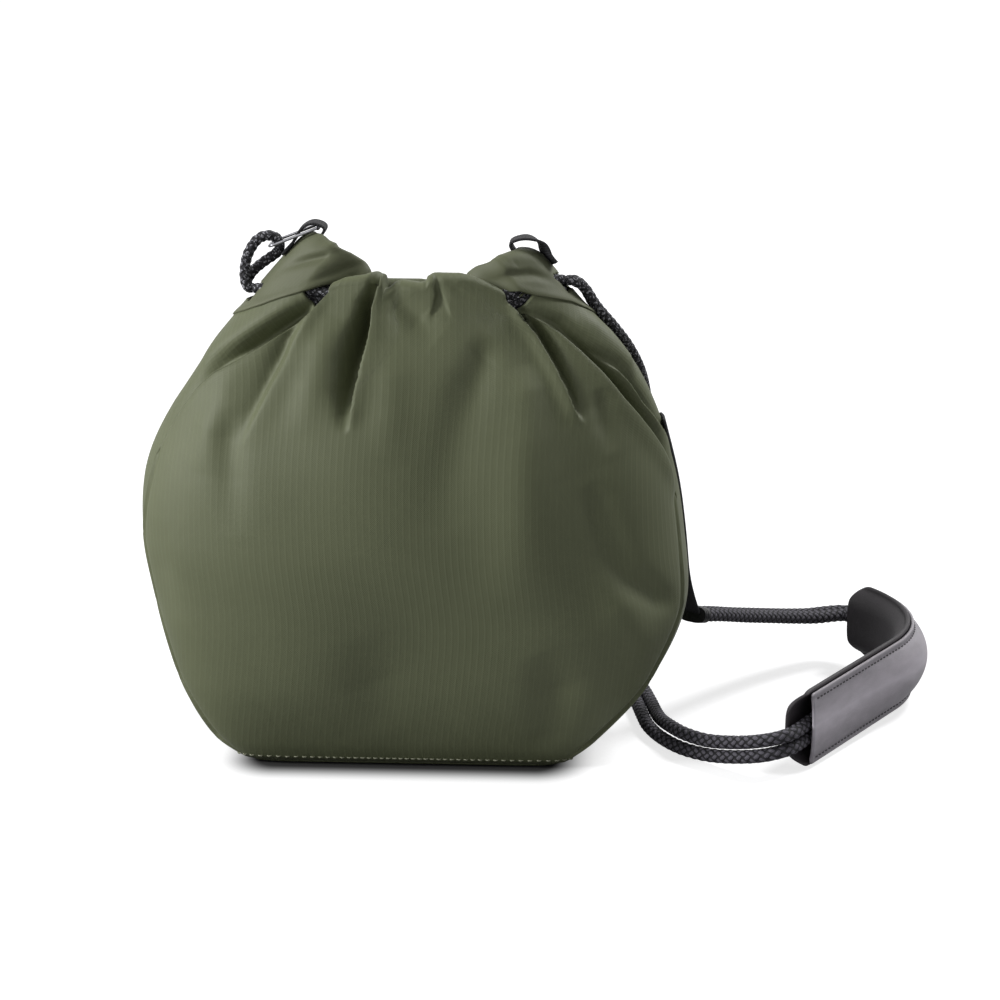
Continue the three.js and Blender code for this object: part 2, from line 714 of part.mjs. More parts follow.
function coverOut(face) {
  return (s, height) => {
    const bulge = lerp(coverBulgeNear, coverBulgeFar, THREE.MathUtils.smoothstep(s, 40, 130));
    const arch = 1 - ((height - padMiddle) / (padMiddle - padMargin)) ** 2;
    return padBacking / 2 + layerGap + bulge * Math.max(0, arch) ** 0.6 + face * padCover;
  };
}

function addPad() {
  const backing = [1, -1].map((side) =>
    padSheet(-padBackingEnd, padLength, padCorner, 0, padHeight, backingOut(side), 24, 8));
  addPiece('pad_backing', sheetSolid(...backing), 0x17171a, 0.6);
  const cover = [1, 0].map((face) =>
    padSheet(0, padLength - padBackingFar, 0.01, padMargin, padHeight - padMargin, coverOut(face), 20, 8));
  addPiece('pad_cover', sheetSolid(...cover), 0x46444a, 0.45);
}
addPad();

export default pouch;
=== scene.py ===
import json
import math

import bmesh
import bpy
import numpy as np
from mathutils import Matrix, Vector


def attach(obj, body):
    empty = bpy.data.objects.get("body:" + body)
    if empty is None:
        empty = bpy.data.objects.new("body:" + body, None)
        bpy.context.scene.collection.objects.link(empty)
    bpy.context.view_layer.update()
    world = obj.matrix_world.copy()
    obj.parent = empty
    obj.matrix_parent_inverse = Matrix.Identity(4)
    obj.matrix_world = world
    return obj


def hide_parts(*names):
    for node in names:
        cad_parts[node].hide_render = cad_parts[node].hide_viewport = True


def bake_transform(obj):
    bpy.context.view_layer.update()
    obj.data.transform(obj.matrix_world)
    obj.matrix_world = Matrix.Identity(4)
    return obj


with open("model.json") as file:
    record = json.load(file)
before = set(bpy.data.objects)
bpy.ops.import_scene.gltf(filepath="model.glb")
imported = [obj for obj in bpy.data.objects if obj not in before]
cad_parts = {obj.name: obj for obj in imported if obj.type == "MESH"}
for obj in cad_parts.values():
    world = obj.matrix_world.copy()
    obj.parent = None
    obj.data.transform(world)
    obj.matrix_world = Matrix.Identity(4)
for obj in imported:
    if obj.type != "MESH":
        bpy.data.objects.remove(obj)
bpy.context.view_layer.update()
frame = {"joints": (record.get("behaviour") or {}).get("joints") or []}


# Camera: the photograph looks at the front from a little to the right and 15 degrees above,
# through a long lens, so the pouch is seen almost without perspective.

aim = Vector((0.041, 0, 0.123))
camera_turn = math.radians(3)
camera_tilt = math.radians(15)
camera_distance = 1.4
to_camera = Vector((
    math.sin(camera_turn) * math.cos(camera_tilt),
    -math.cos(camera_turn) * math.cos(camera_tilt),
    math.sin(camera_tilt),
))
lens = bpy.data.cameras.new("camera")
lens.lens = 100.8
lens.sensor_width = 36
lens.clip_end = 20
camera = bpy.data.objects.new("camera", lens)
camera.location = aim + camera_distance * to_camera
camera.rotation_euler = to_camera.to_track_quat("Z", "Y").to_euler()
bpy.context.scene.collection.objects.link(camera)
bpy.context.scene.camera = camera
bpy.context.scene.view_settings.view_transform = "Standard"


# Strap cords: two round nylon cords, diamond-braided from charcoal yarn, which run side by side
# from the right ferrule through the pad, round behind the pouch and up to the left ferrule.

strap_cord = 6.6
strap_pitch = 7.4
strap_braid = 5, 4.6  # yarns each way round it, and millimetres from one to the next along it
into_ferrule = 3.5
strap_route = np.array([
    [143.2, 34.5, 54.4, 0], [150.5, 46, 51, 0], [164, 67, 44, 0], [180, 89, 37, 0],
    [195, 106.5, 31.5, 0], [206, 117, 28.6, 0], [215.5, 125, 27.3, 0], [223, 128.8, 26.7, 0],
    [229.6, 126.1, 26.6, 0], [237.5, 117.2, 26.5, 2], [246.4, 103.6, 26.2, 8], [251.9, 88.2, 25.6, 20],
    [253.5, 70.1, 24.8, 38], [249.5, 50.4, 23.8, 60], [240.1, 33, 22.6, 78], [227.6, 14.9, 21.3, 90],
    [215.9, -3.8, 20, 90], [204.3, -22.4, 18.6, 90], [195.9, -36.1, 17.6, 90], [190.8, -44.6, 17, 90],
    [186.6, -50.7, 16.6, 90], [180.5, -54.8, 15.8, 90], [172, -54.6, 13.8, 90], [160, -48.5, 10.6, 90],
    [146, -39, 7.9, 88], [134.5, -28.5, 7.3, 75], [125.5, -13, 6.6, 52], [120, 4, 5.3, 25],
    [117, 22, 4.1, 5], [114, 42, 3.7, 0], [109, 66, 3.7, 0], [99, 92, 3.7, 0],
    [80, 117, 3.7, 0], [52, 136, 3.7, 0], [18, 146, 3.7, 0], [-20, 147, 3.7, 0],
    [-56, 139, 3.7, 0], [-86, 121, 4.2, 8], [-105, 99, 6.6, 40], [-115, 77, 11.8, 75],
    [-120.5, 60, 23, 90], [-123, 51.5, 37, 90], [-124, 46.5, 50, 90],
])


def unit(vectors):
    return vectors / np.linalg.norm(vectors, axis=-1, keepdims=True)


def smooth_line(route, step):
    """Points every step millimetres on a smooth curve through the route's points"""
    route = np.asarray(route, float)
    ends = [2 * route[0] - route[1]], [2 * route[-1] - route[-2]]
    knots = np.concatenate([ends[0], route, ends[1]])
    spacing = np.linalg.norm(np.diff(knots[:, :3], axis=0), axis=1) ** 0.5
    fine = []
    for k in range(len(route) - 1):
        p, (a, b, c) = knots[k:k + 4], spacing[k:k + 3]
        leave = b * ((p[1] - p[0]) / a - (p[2] - p[0]) / (a + b) + (p[2] - p[1]) / b)
        arrive = b * ((p[2] - p[1]) / b - (p[3] - p[1]) / (b + c) + (p[3] - p[2]) / c)
        for t in np.arange(0, 1, 0.05):
            square = -3 * p[1] + 3 * p[2] - 2 * leave - arrive
            cube = 2 * p[1] - 2 * p[2] + leave + arrive
            fine.append(p[1] + leave * t + square * t ** 2 + cube * t ** 3)
    fine.append(route[-1])
    return spaced(np.array(fine), step)


def gone_along(line):
    """Millimetres from the line's start to each of its points"""
    steps = np.linalg.norm(np.diff(line[:, :3], axis=0), axis=1)
    return np.concatenate([[0], np.cumsum(steps)])


def spaced(line, step):
    gone = gone_along(line)
    stops = np.linspace(0, gone[-1], max(3, round(gone[-1] / step) + 1))
    return np.stack([np.interp(stops, gone, line[:, k]) for k in range(line.shape[1])], axis=1)


def grid_faces(rows, columns, wrap_rows=False, wrap_columns=False):
    """Quads of a grid of points, with each corner's place in a grid of UVs that doesn't wrap"""
    r, c = np.meshgrid(
        np.arange(rows if wrap_rows else rows - 1),
        np.arange(columns if wrap_columns else columns - 1), indexing="ij",
    )
    corners = [(r, c), (r, c + 1), (r + 1, c + 1), (r + 1, c)]
    wide = columns + 1 if wrap_columns else columns
    faces = np.stack([(y % rows) * columns + x % columns for y, x in corners], axis=-1)
    places = np.stack([y * wide + x for y, x in corners], axis=-1)
    return faces, places


def make_piece(name, points, faces, places, uv, finish):
    """A mesh from points in millimetres, with a UV map called weave, and its material"""
    mesh = bpy.data.meshes.new(name)
    mesh.from_pydata((np.asarray(points) / 1000).tolist(), [], [list(face) for face in faces])
    layer = mesh.uv_layers.new(name="weave")
    corners = np.concatenate([np.asarray(place) for place in places])
    layer.data.foreach_set("uv", np.asarray(uv, np.float32)[corners].ravel())
    mesh.materials.append(finish)
    mesh.polygons.foreach_set("use_smooth", [True] * len(mesh.polygons))
    piece = bpy.data.objects.new(name, mesh)
    bpy.context.scene.collection.objects.link(piece)
    return piece


def make_tube(name, line, diameter, sides, finish, relief=None):
    """A round cord along a line; relief gives how far its yarns stand up by turn and length"""
    heading = unit(np.gradient(line, axis=0))
    side = np.cross(heading[0], [0, 0, 1.0]) + 1e-6
    sides_of = []
    for direction in heading:
        side = unit(side - side.dot(direction) * direction)
        sides_of.append(side)
    side = np.array(sides_of)
    up = np.cross(heading, side)
    gone = gone_along(line)
    turn = np.arange(sides) / sides
    reach = diameter / 2 + (relief(turn[None, :], gone[:, None]) if relief else 0)
    reach = np.broadcast_to(reach, (len(line), sides))[..., None]
    spin = 2 * np.pi * turn[None, :, None]
    points = line[:, None] + reach * (np.cos(spin) * side[:, None] + np.sin(spin) * up[:, None])
    faces, places = grid_faces(len(line), sides, wrap_columns=True)
    uv = np.stack(np.broadcast_arrays(np.arange(sides + 1)[None] / sides, gone[:, None]), axis=-1)
    points = np.concatenate([points.reshape(-1, 3), line[:1], line[-1:]])
    last = (len(line) - 1) * sides
    caps = []
    for k in range(sides):
        after = (k + 1) % sides
        caps.append([len(points) - 2, after, k])
        caps.append([len(points) - 1, last + k, last + after])
    faces = [*faces.reshape(-1, 4).tolist(), *caps]
    places = [*places.reshape(-1, 4), *([[0, 0, 0]] * len(caps))]
    return make_piece(name, points, faces, places, uv.reshape(-1, 2), finish)


class Value:
    """A number that varies over a surface; arithmetic on it adds Math nodes"""

    def __init__(self, nodes, socket):
        self.nodes = nodes
        self.socket = socket

    def __add__(self, other):
        return self.nodes.math("ADD", self, other)

    def __sub__(self, other):
        return self.nodes.math("SUBTRACT", self, other)

    def __rsub__(self, other):
        return self.nodes.math("SUBTRACT", other, self)

    def __mul__(self, other):
        return self.nodes.math("MULTIPLY", self, other)

    def __truediv__(self, other):
        return self.nodes.math("DIVIDE", self, other)

    def __pow__(self, other):
        return self.nodes.math("POWER", self, other)

    def __gt__(self, other):
        return self.nodes.math("GREATER_THAN", self, other)

    __radd__ = __add__
    __rmul__ = __mul__


class Nodes:
    """The nodes of a material or of the world"""

    def __init__(self, tree):
        self.tree = tree

    def node(self, kind, settings, inputs, output=0):
        made = self.tree.nodes.new(kind)
        for key, value in settings.items():
            setattr(made, key, value)
        for key, value in inputs.items():
            self.feed(made.inputs[key], value)
        return Value(self, made.outputs[output])

    def feed(self, socket, value):
        if isinstance(value, Value):
            self.tree.links.new(value.socket, socket)
        else:
            socket.default_value = value

    def math(self, operation, *operands):
        return self.node("ShaderNodeMath", {"operation": operation}, dict(enumerate(operands)))


class Finish(Nodes):
    """A material: one shader with its plain settings, and the nodes that feed it"""

    def __init__(self, name, **settings):
        self.material = bpy.data.materials.new(name)
        self.material.use_nodes = True
        super().__init__(self.material.node_tree)
        self.shader = self.tree.nodes["Principled BSDF"]
        for key, value in settings.items():
            socket = key.replace("_", " ").title().replace("Ior", "IOR")
            self.shader.inputs[socket].default_value = value

    def mix(self, share, first, second):
        return self.node("ShaderNodeMix", {"data_type": "RGBA"}, {0: share, 6: first, 7: second}, 2)

    def weave_uv(self):
        """The two coordinates of the piece's own UV map"""
        uv = self.node("ShaderNodeUVMap", {"uv_map": "weave"}, {})
        return [self.node("ShaderNodeSeparateXYZ", {}, {0: uv}, k) for k in (0, 1)]

    def cloud(self, scale, detail=2.0, stretch=(1, 1, 1)):
        """Soft noise in object space, about 0 to 1; scale in patches per metre"""
        place = self.node("ShaderNodeTexCoord", {}, {}, "Object")
        place = self.node("ShaderNodeMapping", {}, {"Vector": place, "Scale": stretch})
        return self.node("ShaderNodeTexNoise", {}, {"Vector": place, "Scale": scale, "Detail": detail})

    def wave(self, value, period):
        """A sine from -1 to 1 with that period"""
        return self.math("SINE", value * (2 * math.pi / period))

    def finish(self, colour=None, roughness=None, height=None, depth=0.0003):
        if colour is not None:
            self.feed(self.shader.inputs["Base Color"], colour)
        if roughness is not None:
            self.feed(self.shader.inputs["Roughness"], roughness)
        if height is not None:
            bump = self.node("ShaderNodeBump", {}, {"Strength": 1.0, "Distance": depth, "Height": height})
            self.feed(self.shader.inputs["Normal"], bump)
        return self.material


def paint(red, green, blue):
    """A colour given as on a screen, 0 to 255, for a shader"""
    parts = [c / 255 for c in (red, green, blue)]
    return (*(p / 12.92 if p < 0.04 else ((p + 0.055) / 1.055) ** 2.4 for p in parts), 1.0)


def braid_relief(strands, pitch, rise):
    """How far the crossing yarns of a braid stand up, by turn round the cord and length along it"""
    def relief(turn, length):
        first, second = turn * strands + length / pitch, turn * strands - length / pitch
        over = (np.floor(first) + np.floor(second)) % 2
        first, second = first % 1, second % 1
        across = np.where(over == 1, first, second)
        along = np.where(over == 1, second, first)
        return rise * (np.sin(np.pi * across) ** 0.7 * (0.55 + 0.45 * np.sin(np.pi * along)) - 0.5)
    return relief


def braid_finish(name, strands, pitch, dark, body, pale, fleck=0.0):
    """Braided yarn: painted shade in the crossings, a painted sheen along the filaments on each yarn's
    crest, and where fleck is given paler flecks of light yarn in the sheen's place
    """
    yarn = Finish(name, roughness=0.7, specular_ior_level=0.35)
    turn, length = yarn.weave_uv()
    first = turn * strands + length / pitch
    second = turn * strands - length / pitch
    cells = yarn.math("FLOOR", first) + yarn.math("FLOOR", second)
    over = yarn.math("FRACT", cells * 0.5) > 0.25
    first, second = yarn.math("FRACT", first), yarn.math("FRACT", second)
    across = over * first + (1 - over) * second
    along = over * second + (1 - over) * first
    round_across = yarn.math("SINE", across * math.pi)
    round_along = yarn.math("SINE", along * math.pi)
    swell = round_across * (round_along * 0.45 + 0.55)
    filaments = yarn.wave(across, 0.2) * 0.5 + 0.5
    # Painted shade: the colour goes dark where the yarns dive into the crossings
    light = yarn.math("SMOOTH_MIN", (swell - 0.25) * 1.5, 1.0, 0.2)
    colour = yarn.mix(light, dark, body)
    # Painted sheen: paler lines along the filaments on each yarn's crest; real flecks of light yarn take
    # its place where fleck is given
    painted_sheen_and_flecks = filaments * (swell > 0.6) * 0.55
    if fleck:
        spots = yarn.cloud(900.0, 1.0)
        painted_sheen_and_flecks = (spots > 1 - fleck) * (swell > 0.45)
    colour = yarn.mix(painted_sheen_and_flecks, colour, pale)
    return yarn.finish(colour, height=swell + filaments * 0.12, depth=0.0005)


# The darkest colour is painted shade in the crossings, and the palest is the painted sheen on the crests
strap_yarn = braid_finish(
    "strap_braid", *strap_braid, paint(9, 9, 12), paint(68, 66, 74), paint(132, 129, 139))


def strap_side(sign):
    """One cord's line: beside the pair's middle, or above and below it where the pair stands up"""
    middle = strap_route[:, :3]
    heading = np.empty_like(middle)
    heading[1:-1] = middle[2:] - middle[:-2]
    heading[0], heading[-1] = middle[1] - middle[0], middle[-1] - middle[-2]
    heading = unit(heading)
    side = unit(np.cross(heading, [0, 0, 1.0]))
    up = np.cross(side, heading)
    lean = np.radians(strap_route[:, 3:])
    line = middle + sign * strap_pitch / 2 * (side * np.cos(lean) + up * np.sin(lean))
    first, last = line[:1] - into_ferrule * heading[:1], line[-1:] + into_ferrule * heading[-1:]
    return np.concatenate([first, line, last])


for name, sign in (("strap_cord_a", 1), ("strap_cord_b", -1)):
    line = smooth_line(strap_side(sign), 0.8)
    cord = make_tube(
        "braided_" + name, line, strap_cord, 20, strap_yarn, braid_relief(*strap_braid, 0.5))
    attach(cord, "pouch")
    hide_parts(name)


# Pulls: 5 mm drawcord, braided black and light grey. The left one leaves its ear, loops through
# the ring and goes back in. The right one leaves as two strands tied in a knot behind the pouch.

drawcord = 5
drawcord_braid = 4, 3.6
left_pull_route = [
    [-80.4, -2.7, 229.9], [-82.7, -2.7, 230.4], [-84.1, -2.8, 233.6], [-84.2, -2.9, 238.6],
    [-83.2, -2.8, 244.6], [-80.8, -2.5, 250], [-77.3, -1.9, 254.2], [-73, -1.2, 255.8],
    [-69.2, -0.4, 254.8], [-67.3, 0.4, 251.8], [-67.6, 1.2, 248.8], [-69.4, 2, 246.4],
    [-72.4, 2.6, 244.2], [-76.4, 2.9, 241.4], [-80.6, 2.9, 237.8], [-83.6, 2.8, 233.4],
    [-84.1, 2.7, 229.9], [-82.1, 2.7, 228.8],
]
right_pull_front_route = [
    [73.8, -2.7, 235.4], [76.4, -2.9, 235.2], [81.8, -0.5, 231.9], [88.3, 3, 221.7],
    [97.2, 7.4, 210.3], [104.5, 12.6, 199.4], [110.4, 19.1, 186.1], [113.4, 26.5, 171.9],
    [115.2, 32.8, 157.2], [117, 38.7, 143], [118.3, 43.2, 131.4],
]
right_pull_back_route = [
    [75.5, 2.7, 234.4], [78.1, 3.1, 234.1], [81.7, 5.6, 230.6], [87.4, 9.3, 220.1],
    [94.6, 13.5, 209.7], [101.6, 19.1, 197.8], [106.5, 25.3, 184.6], [109.1, 31.6, 170.4],
    [110.7, 37.8, 155.7], [112.6, 43.4, 142.5], [114.7, 48, 131.4],
]
knot_centre = np.array([117.5, 47.4, 121.6])

# The darkest colour is painted shade in the crossings; the palest is the light grey yarn of the flecks
drawcord_yarn = braid_finish(
    "drawcord_braid", *drawcord_braid, paint(14, 14, 16), paint(40, 40, 45), paint(150, 150, 156),
    fleck=0.44)


def make_drawcord(name, line, node=None):
    relief = braid_relief(*drawcord_braid, 0.45)
    cord = make_tube(name, line, drawcord, 16, drawcord_yarn, relief)
    if node:
        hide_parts(node)
    return cord


line = smooth_line(left_pull_route, 0.7)
left_pull = make_drawcord("left_pull_loop", line, "left_pull")
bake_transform(left_pull)

# The knot is three turns of the same cord, with the two sealed tails below it
knot_radius = 4.4
knot_top = 4.9
knot_drop = 3.25
turns = np.linspace(0, 3, 90)
coil = np.stack([
    knot_radius * np.cos(2 * np.pi * turns), knot_radius * np.sin(2 * np.pi * turns),
    knot_top - knot_drop * turns,
], axis=1)
tail = [[4.2, 0.5, -5.6], [3.6, 1.2, -8.5], [2.2, 0.8, -12.5], [1.6, -0.6, -17]]
knot_line = smooth_line(np.concatenate([coil[::6], tail]) + knot_centre, 0.7)
knot = make_drawcord("right_pull_tied_knot", knot_line, "right_pull_knot")
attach(knot, "pouch")
second_tail = smooth_line(
    np.array([[0, 2, 4], [-1, 1, -2], [-2.4, 0.4, -8.5], [-3, -1, -15.5]]) + knot_centre, 0.7)
knot_tail = make_drawcord("right_pull_knot_tail", second_tail)
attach(knot_tail, "pouch")

for name, route, into_knot in (
    ("front", right_pull_front_route, [0.6, -2.6, 3.4]), ("back", right_pull_back_route, [-2, 0.6, 3.4]),
):
    line = smooth_line([*route, [*(knot_centre + into_knot)]], 0.7)
    strand = make_drawcord("right_pull_strand_" + name, line, "right_pull_" + name)
    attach(strand, "pouch")


# Ferrules: a flat sleeve of black heat-shrunk plastic at each end of the strap. It grips both cords
# and the end of the side webbing, and its two clamped rings catch the light.

ferrule_length = 5.6
ferrule_space = 9.35  # from the strap route's first point back to the sleeve's far end
ferrule_wall = 1.0
# The sleeve's clamped rings: place as a share of its length, and its width there
clamped = (
    (-0.48, 1.0), (-0.3, 1.0), (-0.25, 0.86), (-0.2, 1.0), (0.0, 1.0), (0.05, 0.86), (0.1, 1.0),
    (0.48, 1.0))
ferrule_plastic = Finish("ferrule_plastic", roughness=0.38, specular_ior_level=0.5)
scuffs = ferrule_plastic.cloud(420.0, 4.0)
ferrule_plastic.finish(
    ferrule_plastic.mix(scuffs, paint(13, 13, 14), paint(38, 38, 41)),
    roughness=scuffs * 0.3 + 0.25, height=scuffs, depth=0.0002)

for node, first, second, lean in (
    ("right_ferrule", strap_route[0], strap_route[1], 0),
    ("left_ferrule", strap_route[-1], strap_route[-2], 90),
):
    heading = Vector(second[:3] - first[:3]).normalized()
    side = heading.cross(Vector((0, 0, 1))).normalized()
    up = side.cross(heading)
    wide = side * math.cos(math.radians(lean)) + up * math.sin(math.radians(lean))
    middle = Vector(first[:3]) - heading * (ferrule_space - ferrule_length / 2)
    bpy.ops.object.select_all(action="DESELECT")
    bpy.ops.mesh.primitive_cylinder_add(vertices=48, radius=0.5, depth=ferrule_length / 1000)
    sleeve = bpy.context.object
    sleeve.name = sleeve.data.name = "shrunk_" + node
    half_width = (strap_pitch + strap_cord + 2 * ferrule_wall) / 2000
    half_height = (strap_cord + 2 * ferrule_wall) / 2000
    bpy.ops.object.mode_set(mode="EDIT")
    bpy.ops.mesh.select_mode(type="FACE")
    bpy.ops.mesh.select_all(action="DESELECT")
    bpy.ops.object.mode_set(mode="OBJECT")
    for face in sleeve.data.polygons:
        face.select = abs(face.normal.z) > 0.9
    bpy.ops.object.mode_set(mode="EDIT")
    bpy.ops.mesh.inset(thickness=0.09)
    bpy.ops.object.mode_set(mode="OBJECT")
    shape = bmesh.new()
    shape.from_mesh(sleeve.data)
    for place, _ in clamped:
        cut = (0, 0, place * ferrule_length / 1000)
        bmesh.ops.bisect_plane(
            shape, geom=[*shape.verts, *shape.edges, *shape.faces], plane_co=cut, plane_no=(0, 0, 1))
    for corner in shape.verts:
        turn = math.atan2(corner.co.y, corner.co.x)
        reach = math.hypot(corner.co.x, corner.co.y) / 0.5
        x = math.copysign(abs(math.cos(turn)) ** 0.62, math.cos(turn)) * half_width
        y = math.copysign(abs(math.sin(turn)) ** 0.75, math.sin(turn)) * half_height
        along = corner.co.z * 1000 / ferrule_length
        pinch = float(np.interp(along, *zip(*clamped)))
        end = 0.9 if abs(along) > 0.49 else 1.0
        scale = reach * (pinch if reach > 0.95 else 1) * end
        corner.co.x, corner.co.y = x * scale, y * scale
    turned = Matrix((wide, heading.cross(wide), heading)).transposed().to_4x4()
    shape.transform(Matrix.Translation(middle / 1000) @ turned)
    bmesh.ops.recalc_face_normals(shape, faces=shape.faces)
    shape.to_mesh(sleeve.data)
    shape.free()
    sleeve.data.materials.append(ferrule_plastic.material)
    bpy.ops.object.shade_smooth_by_angle(angle=math.radians(35))
    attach(sleeve, "pouch")
    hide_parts(node)


# Shoulder pad: a stiff dark backing with rounded ends, dished round the cords, and a strip of
# grey leather sewn over them along both long edges. It stands on one long edge.

pad_height = 40
pad_straight = 90
pad_radius = 70
pad_turn = math.radians(80)
pad_heading = math.radians(58)
pad_start = (194.4, -42.2)
pad_rise = 6
pad_backing = 2.5
pad_cover = 1.8
pad_corner = 11
pad_dish = 7
pad_margin = 1.5
pad_seam = 3.2  # from the leather's edge in to its stitches
pad_stitch_pitch = 3.3
pad_length = pad_straight + pad_radius * pad_turn


def thick_sheet(
        name, outer, inner, uv, finish, slot, keep=None, wrap_rows=False, wrap_columns=False):
    """Cloth or leather with thickness between two grids of points; keep marks the quads that stay"""
    rows, columns = outer.shape[:2]
    faces, places = grid_faces(rows, columns, wrap_rows, wrap_columns)
    keep = np.ones(faces.shape[:2], bool) if keep is None else keep
    faces, places = faces[keep], places[keep]
    under = rows * columns
    uv_under = len(uv.reshape(-1, 2))
    starts = np.concatenate([faces[:, k] for k in range(4)])
    ends = np.concatenate([faces[:, (k + 1) % 4] for k in range(4)])
    start_places = np.concatenate([places[:, k] for k in range(4)])
    end_places = np.concatenate([places[:, (k + 1) % 4] for k in range(4)])
    total = 2 * under
    open_edge = ~np.isin(starts * total + ends, ends * total + starts)
    a, b = starts[open_edge], ends[open_edge]
    c, d = start_places[open_edge], end_places[open_edge]
    walls = np.stack([b, a, a + under, b + under], axis=1)
    wall_places = np.stack([d, c, c + uv_under, d + uv_under], axis=1)
    all_faces = np.concatenate([faces, faces[:, ::-1] + under, walls])
    all_places = np.concatenate([places, places[:, ::-1] + uv_under, wall_places])
    points = np.concatenate([outer.reshape(-1, 3), inner.reshape(-1, 3)])
    used = np.unique(all_faces)
    renumber = np.zeros(len(points), int)
    renumber[used] = np.arange(len(used))
    uv = np.concatenate([uv.reshape(-1, 2)] * 2)
    return make_piece(name, points[used], renumber[all_faces], all_places, uv, finish)


def smoothstep(low, high, value):
    t = np.clip((value - low) / (high - low), 0, 1)
    return t * t * (3 - 2 * t)


def pad_point(s, out, height):
    heading = pad_heading + np.clip((s - pad_straight) / pad_radius, 0, pad_turn)
    gone = np.minimum(s, pad_straight)
    x = gone * math.cos(pad_heading) + pad_radius * (np.sin(heading) - math.sin(pad_heading))
    y = gone * math.sin(pad_heading) - pad_radius * (np.cos(heading) - math.cos(pad_heading))
    rise = pad_rise * np.clip(s / pad_length, 0, 1)
    x, y = pad_start[0] + x + out * np.sin(heading), pad_start[1] + y - out * np.cos(heading)
    return np.stack([x, y, height + rise], axis=-1)


def pad_sheet(
        name, start, end, corner, low, high, middle_out, thickness, columns, rows, finish, slot):
    """A strip along the pad with rolled edges; middle_out gives where its middle layer lies"""
    t = np.linspace(0, 1, columns + 1)
    t = t - 0.1 * np.sin(2 * np.pi * t)
    s = (start + (end - start) * t)[None, :]
    up = np.linspace(-1, 1, rows + 1)
    up = (np.sin(up * np.pi / 2) * 0.35 + up * 0.65)[:, None]
    to_end = np.minimum(np.minimum(s - start, end - s), corner)
    cut = corner - np.sqrt(np.maximum(0, corner ** 2 - (corner - to_end) ** 2))
    height = (low + high) / 2 + up * ((high - low) / 2 - cut)
    s = s + 0 * height
    to_long_edge = (1 - np.abs(up)) * ((high - low) / 2 - cut)
    from_edge = np.minimum(np.minimum(s - start, end - s), to_long_edge)
    roll = np.clip(from_edge / (thickness / 2), 0, 1)
    half = thickness / 2 * np.sqrt(np.maximum(0.04, 1 - (1 - roll) ** 2))
    middle = middle_out(s, height)
    return thick_sheet(
        name, pad_point(s, middle + half, height), pad_point(s, middle - half, height),
        np.stack([s, height], axis=-1), finish, slot)


def backing_out(s, height):
    middle = pad_height / 2
    return -pad_dish * np.maximum(0, 1 - np.abs((height - middle) / (middle - 2)) ** 4)


def cover_out(s, height):
    """The leather lies flat along both sewn edges and arches over the cords between them"""
    middle = pad_height / 2
    bulge = 1 + 6.6 * smoothstep(40, 130, s)
    arch = 1 - (np.abs(height - middle) / (middle - pad_margin - pad_seam)) ** 2
    return pad_backing / 2 + 0.35 + pad_cover / 2 + bulge * np.maximum(0, arch) ** 0.8


pad_skin = Finish("pad_backing_skin", roughness=0.55, specular_ior_level=0.4)
grain = pad_skin.cloud(1500.0, 3.0)
pad_skin.finish(
    pad_skin.mix(pad_skin.cloud(60.0), paint(32, 29, 32), paint(54, 50, 54)),
    roughness=grain * 0.25 + 0.45, height=grain, depth=0.00012)
backing = pad_sheet(
    "padded_backing", -8, pad_length, pad_corner, 0, pad_height, backing_out, pad_backing, 190, 56,
    pad_skin.material, "pad_backing")
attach(backing, "pouch")
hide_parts("pad_backing")

leather = Finish(
    "grey_leather", roughness=0.42, specular_ior_level=0.5, coat_weight=0.35, coat_roughness=0.35)
pores = leather.node("ShaderNodeTexVoronoi", {"feature": "DISTANCE_TO_EDGE"}, {
    "Vector": leather.node("ShaderNodeTexCoord", {}, {}, "Object"), "Scale": 1100.0})
wrinkles = leather.cloud(90.0, 4.0, (1, 1, 3))
_, up_pad = leather.weave_uv()
# The leather is paler in a narrow band along both long edges
pale_long_edges = leather.math("ABSOLUTE", up_pad - pad_height / 2) > pad_height / 2 - pad_margin - 1.1
# Painted highlight: the leather is paler in a broad band along the strip just above its middle, where light
# falls on its arch over the cords
painted_highlight = 1 - leather.math("ABSOLUTE", up_pad - pad_height * 0.54) * (2.4 / pad_height)
painted_highlight = leather.math("MAXIMUM", painted_highlight, 0) ** 1.5 * 0.7
colour = leather.mix(painted_highlight + wrinkles * 0.5, paint(116, 111, 118), paint(204, 198, 207))
leather.finish(
    leather.mix(pale_long_edges * 0.5, colour, paint(165, 160, 166)),
    roughness=wrinkles * 0.16 + 0.3,
    height=leather.math("MINIMUM", pores * 3, 0.3) + wrinkles * 0.8, depth=0.0002)
cover = pad_sheet(
    "leather_cover", 0, pad_length - 18, 1.5, pad_margin, pad_height - pad_margin, cover_out, pad_cover,
    190, 60, leather.material, "leather")
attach(cover, "pouch")
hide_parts("pad_cover")


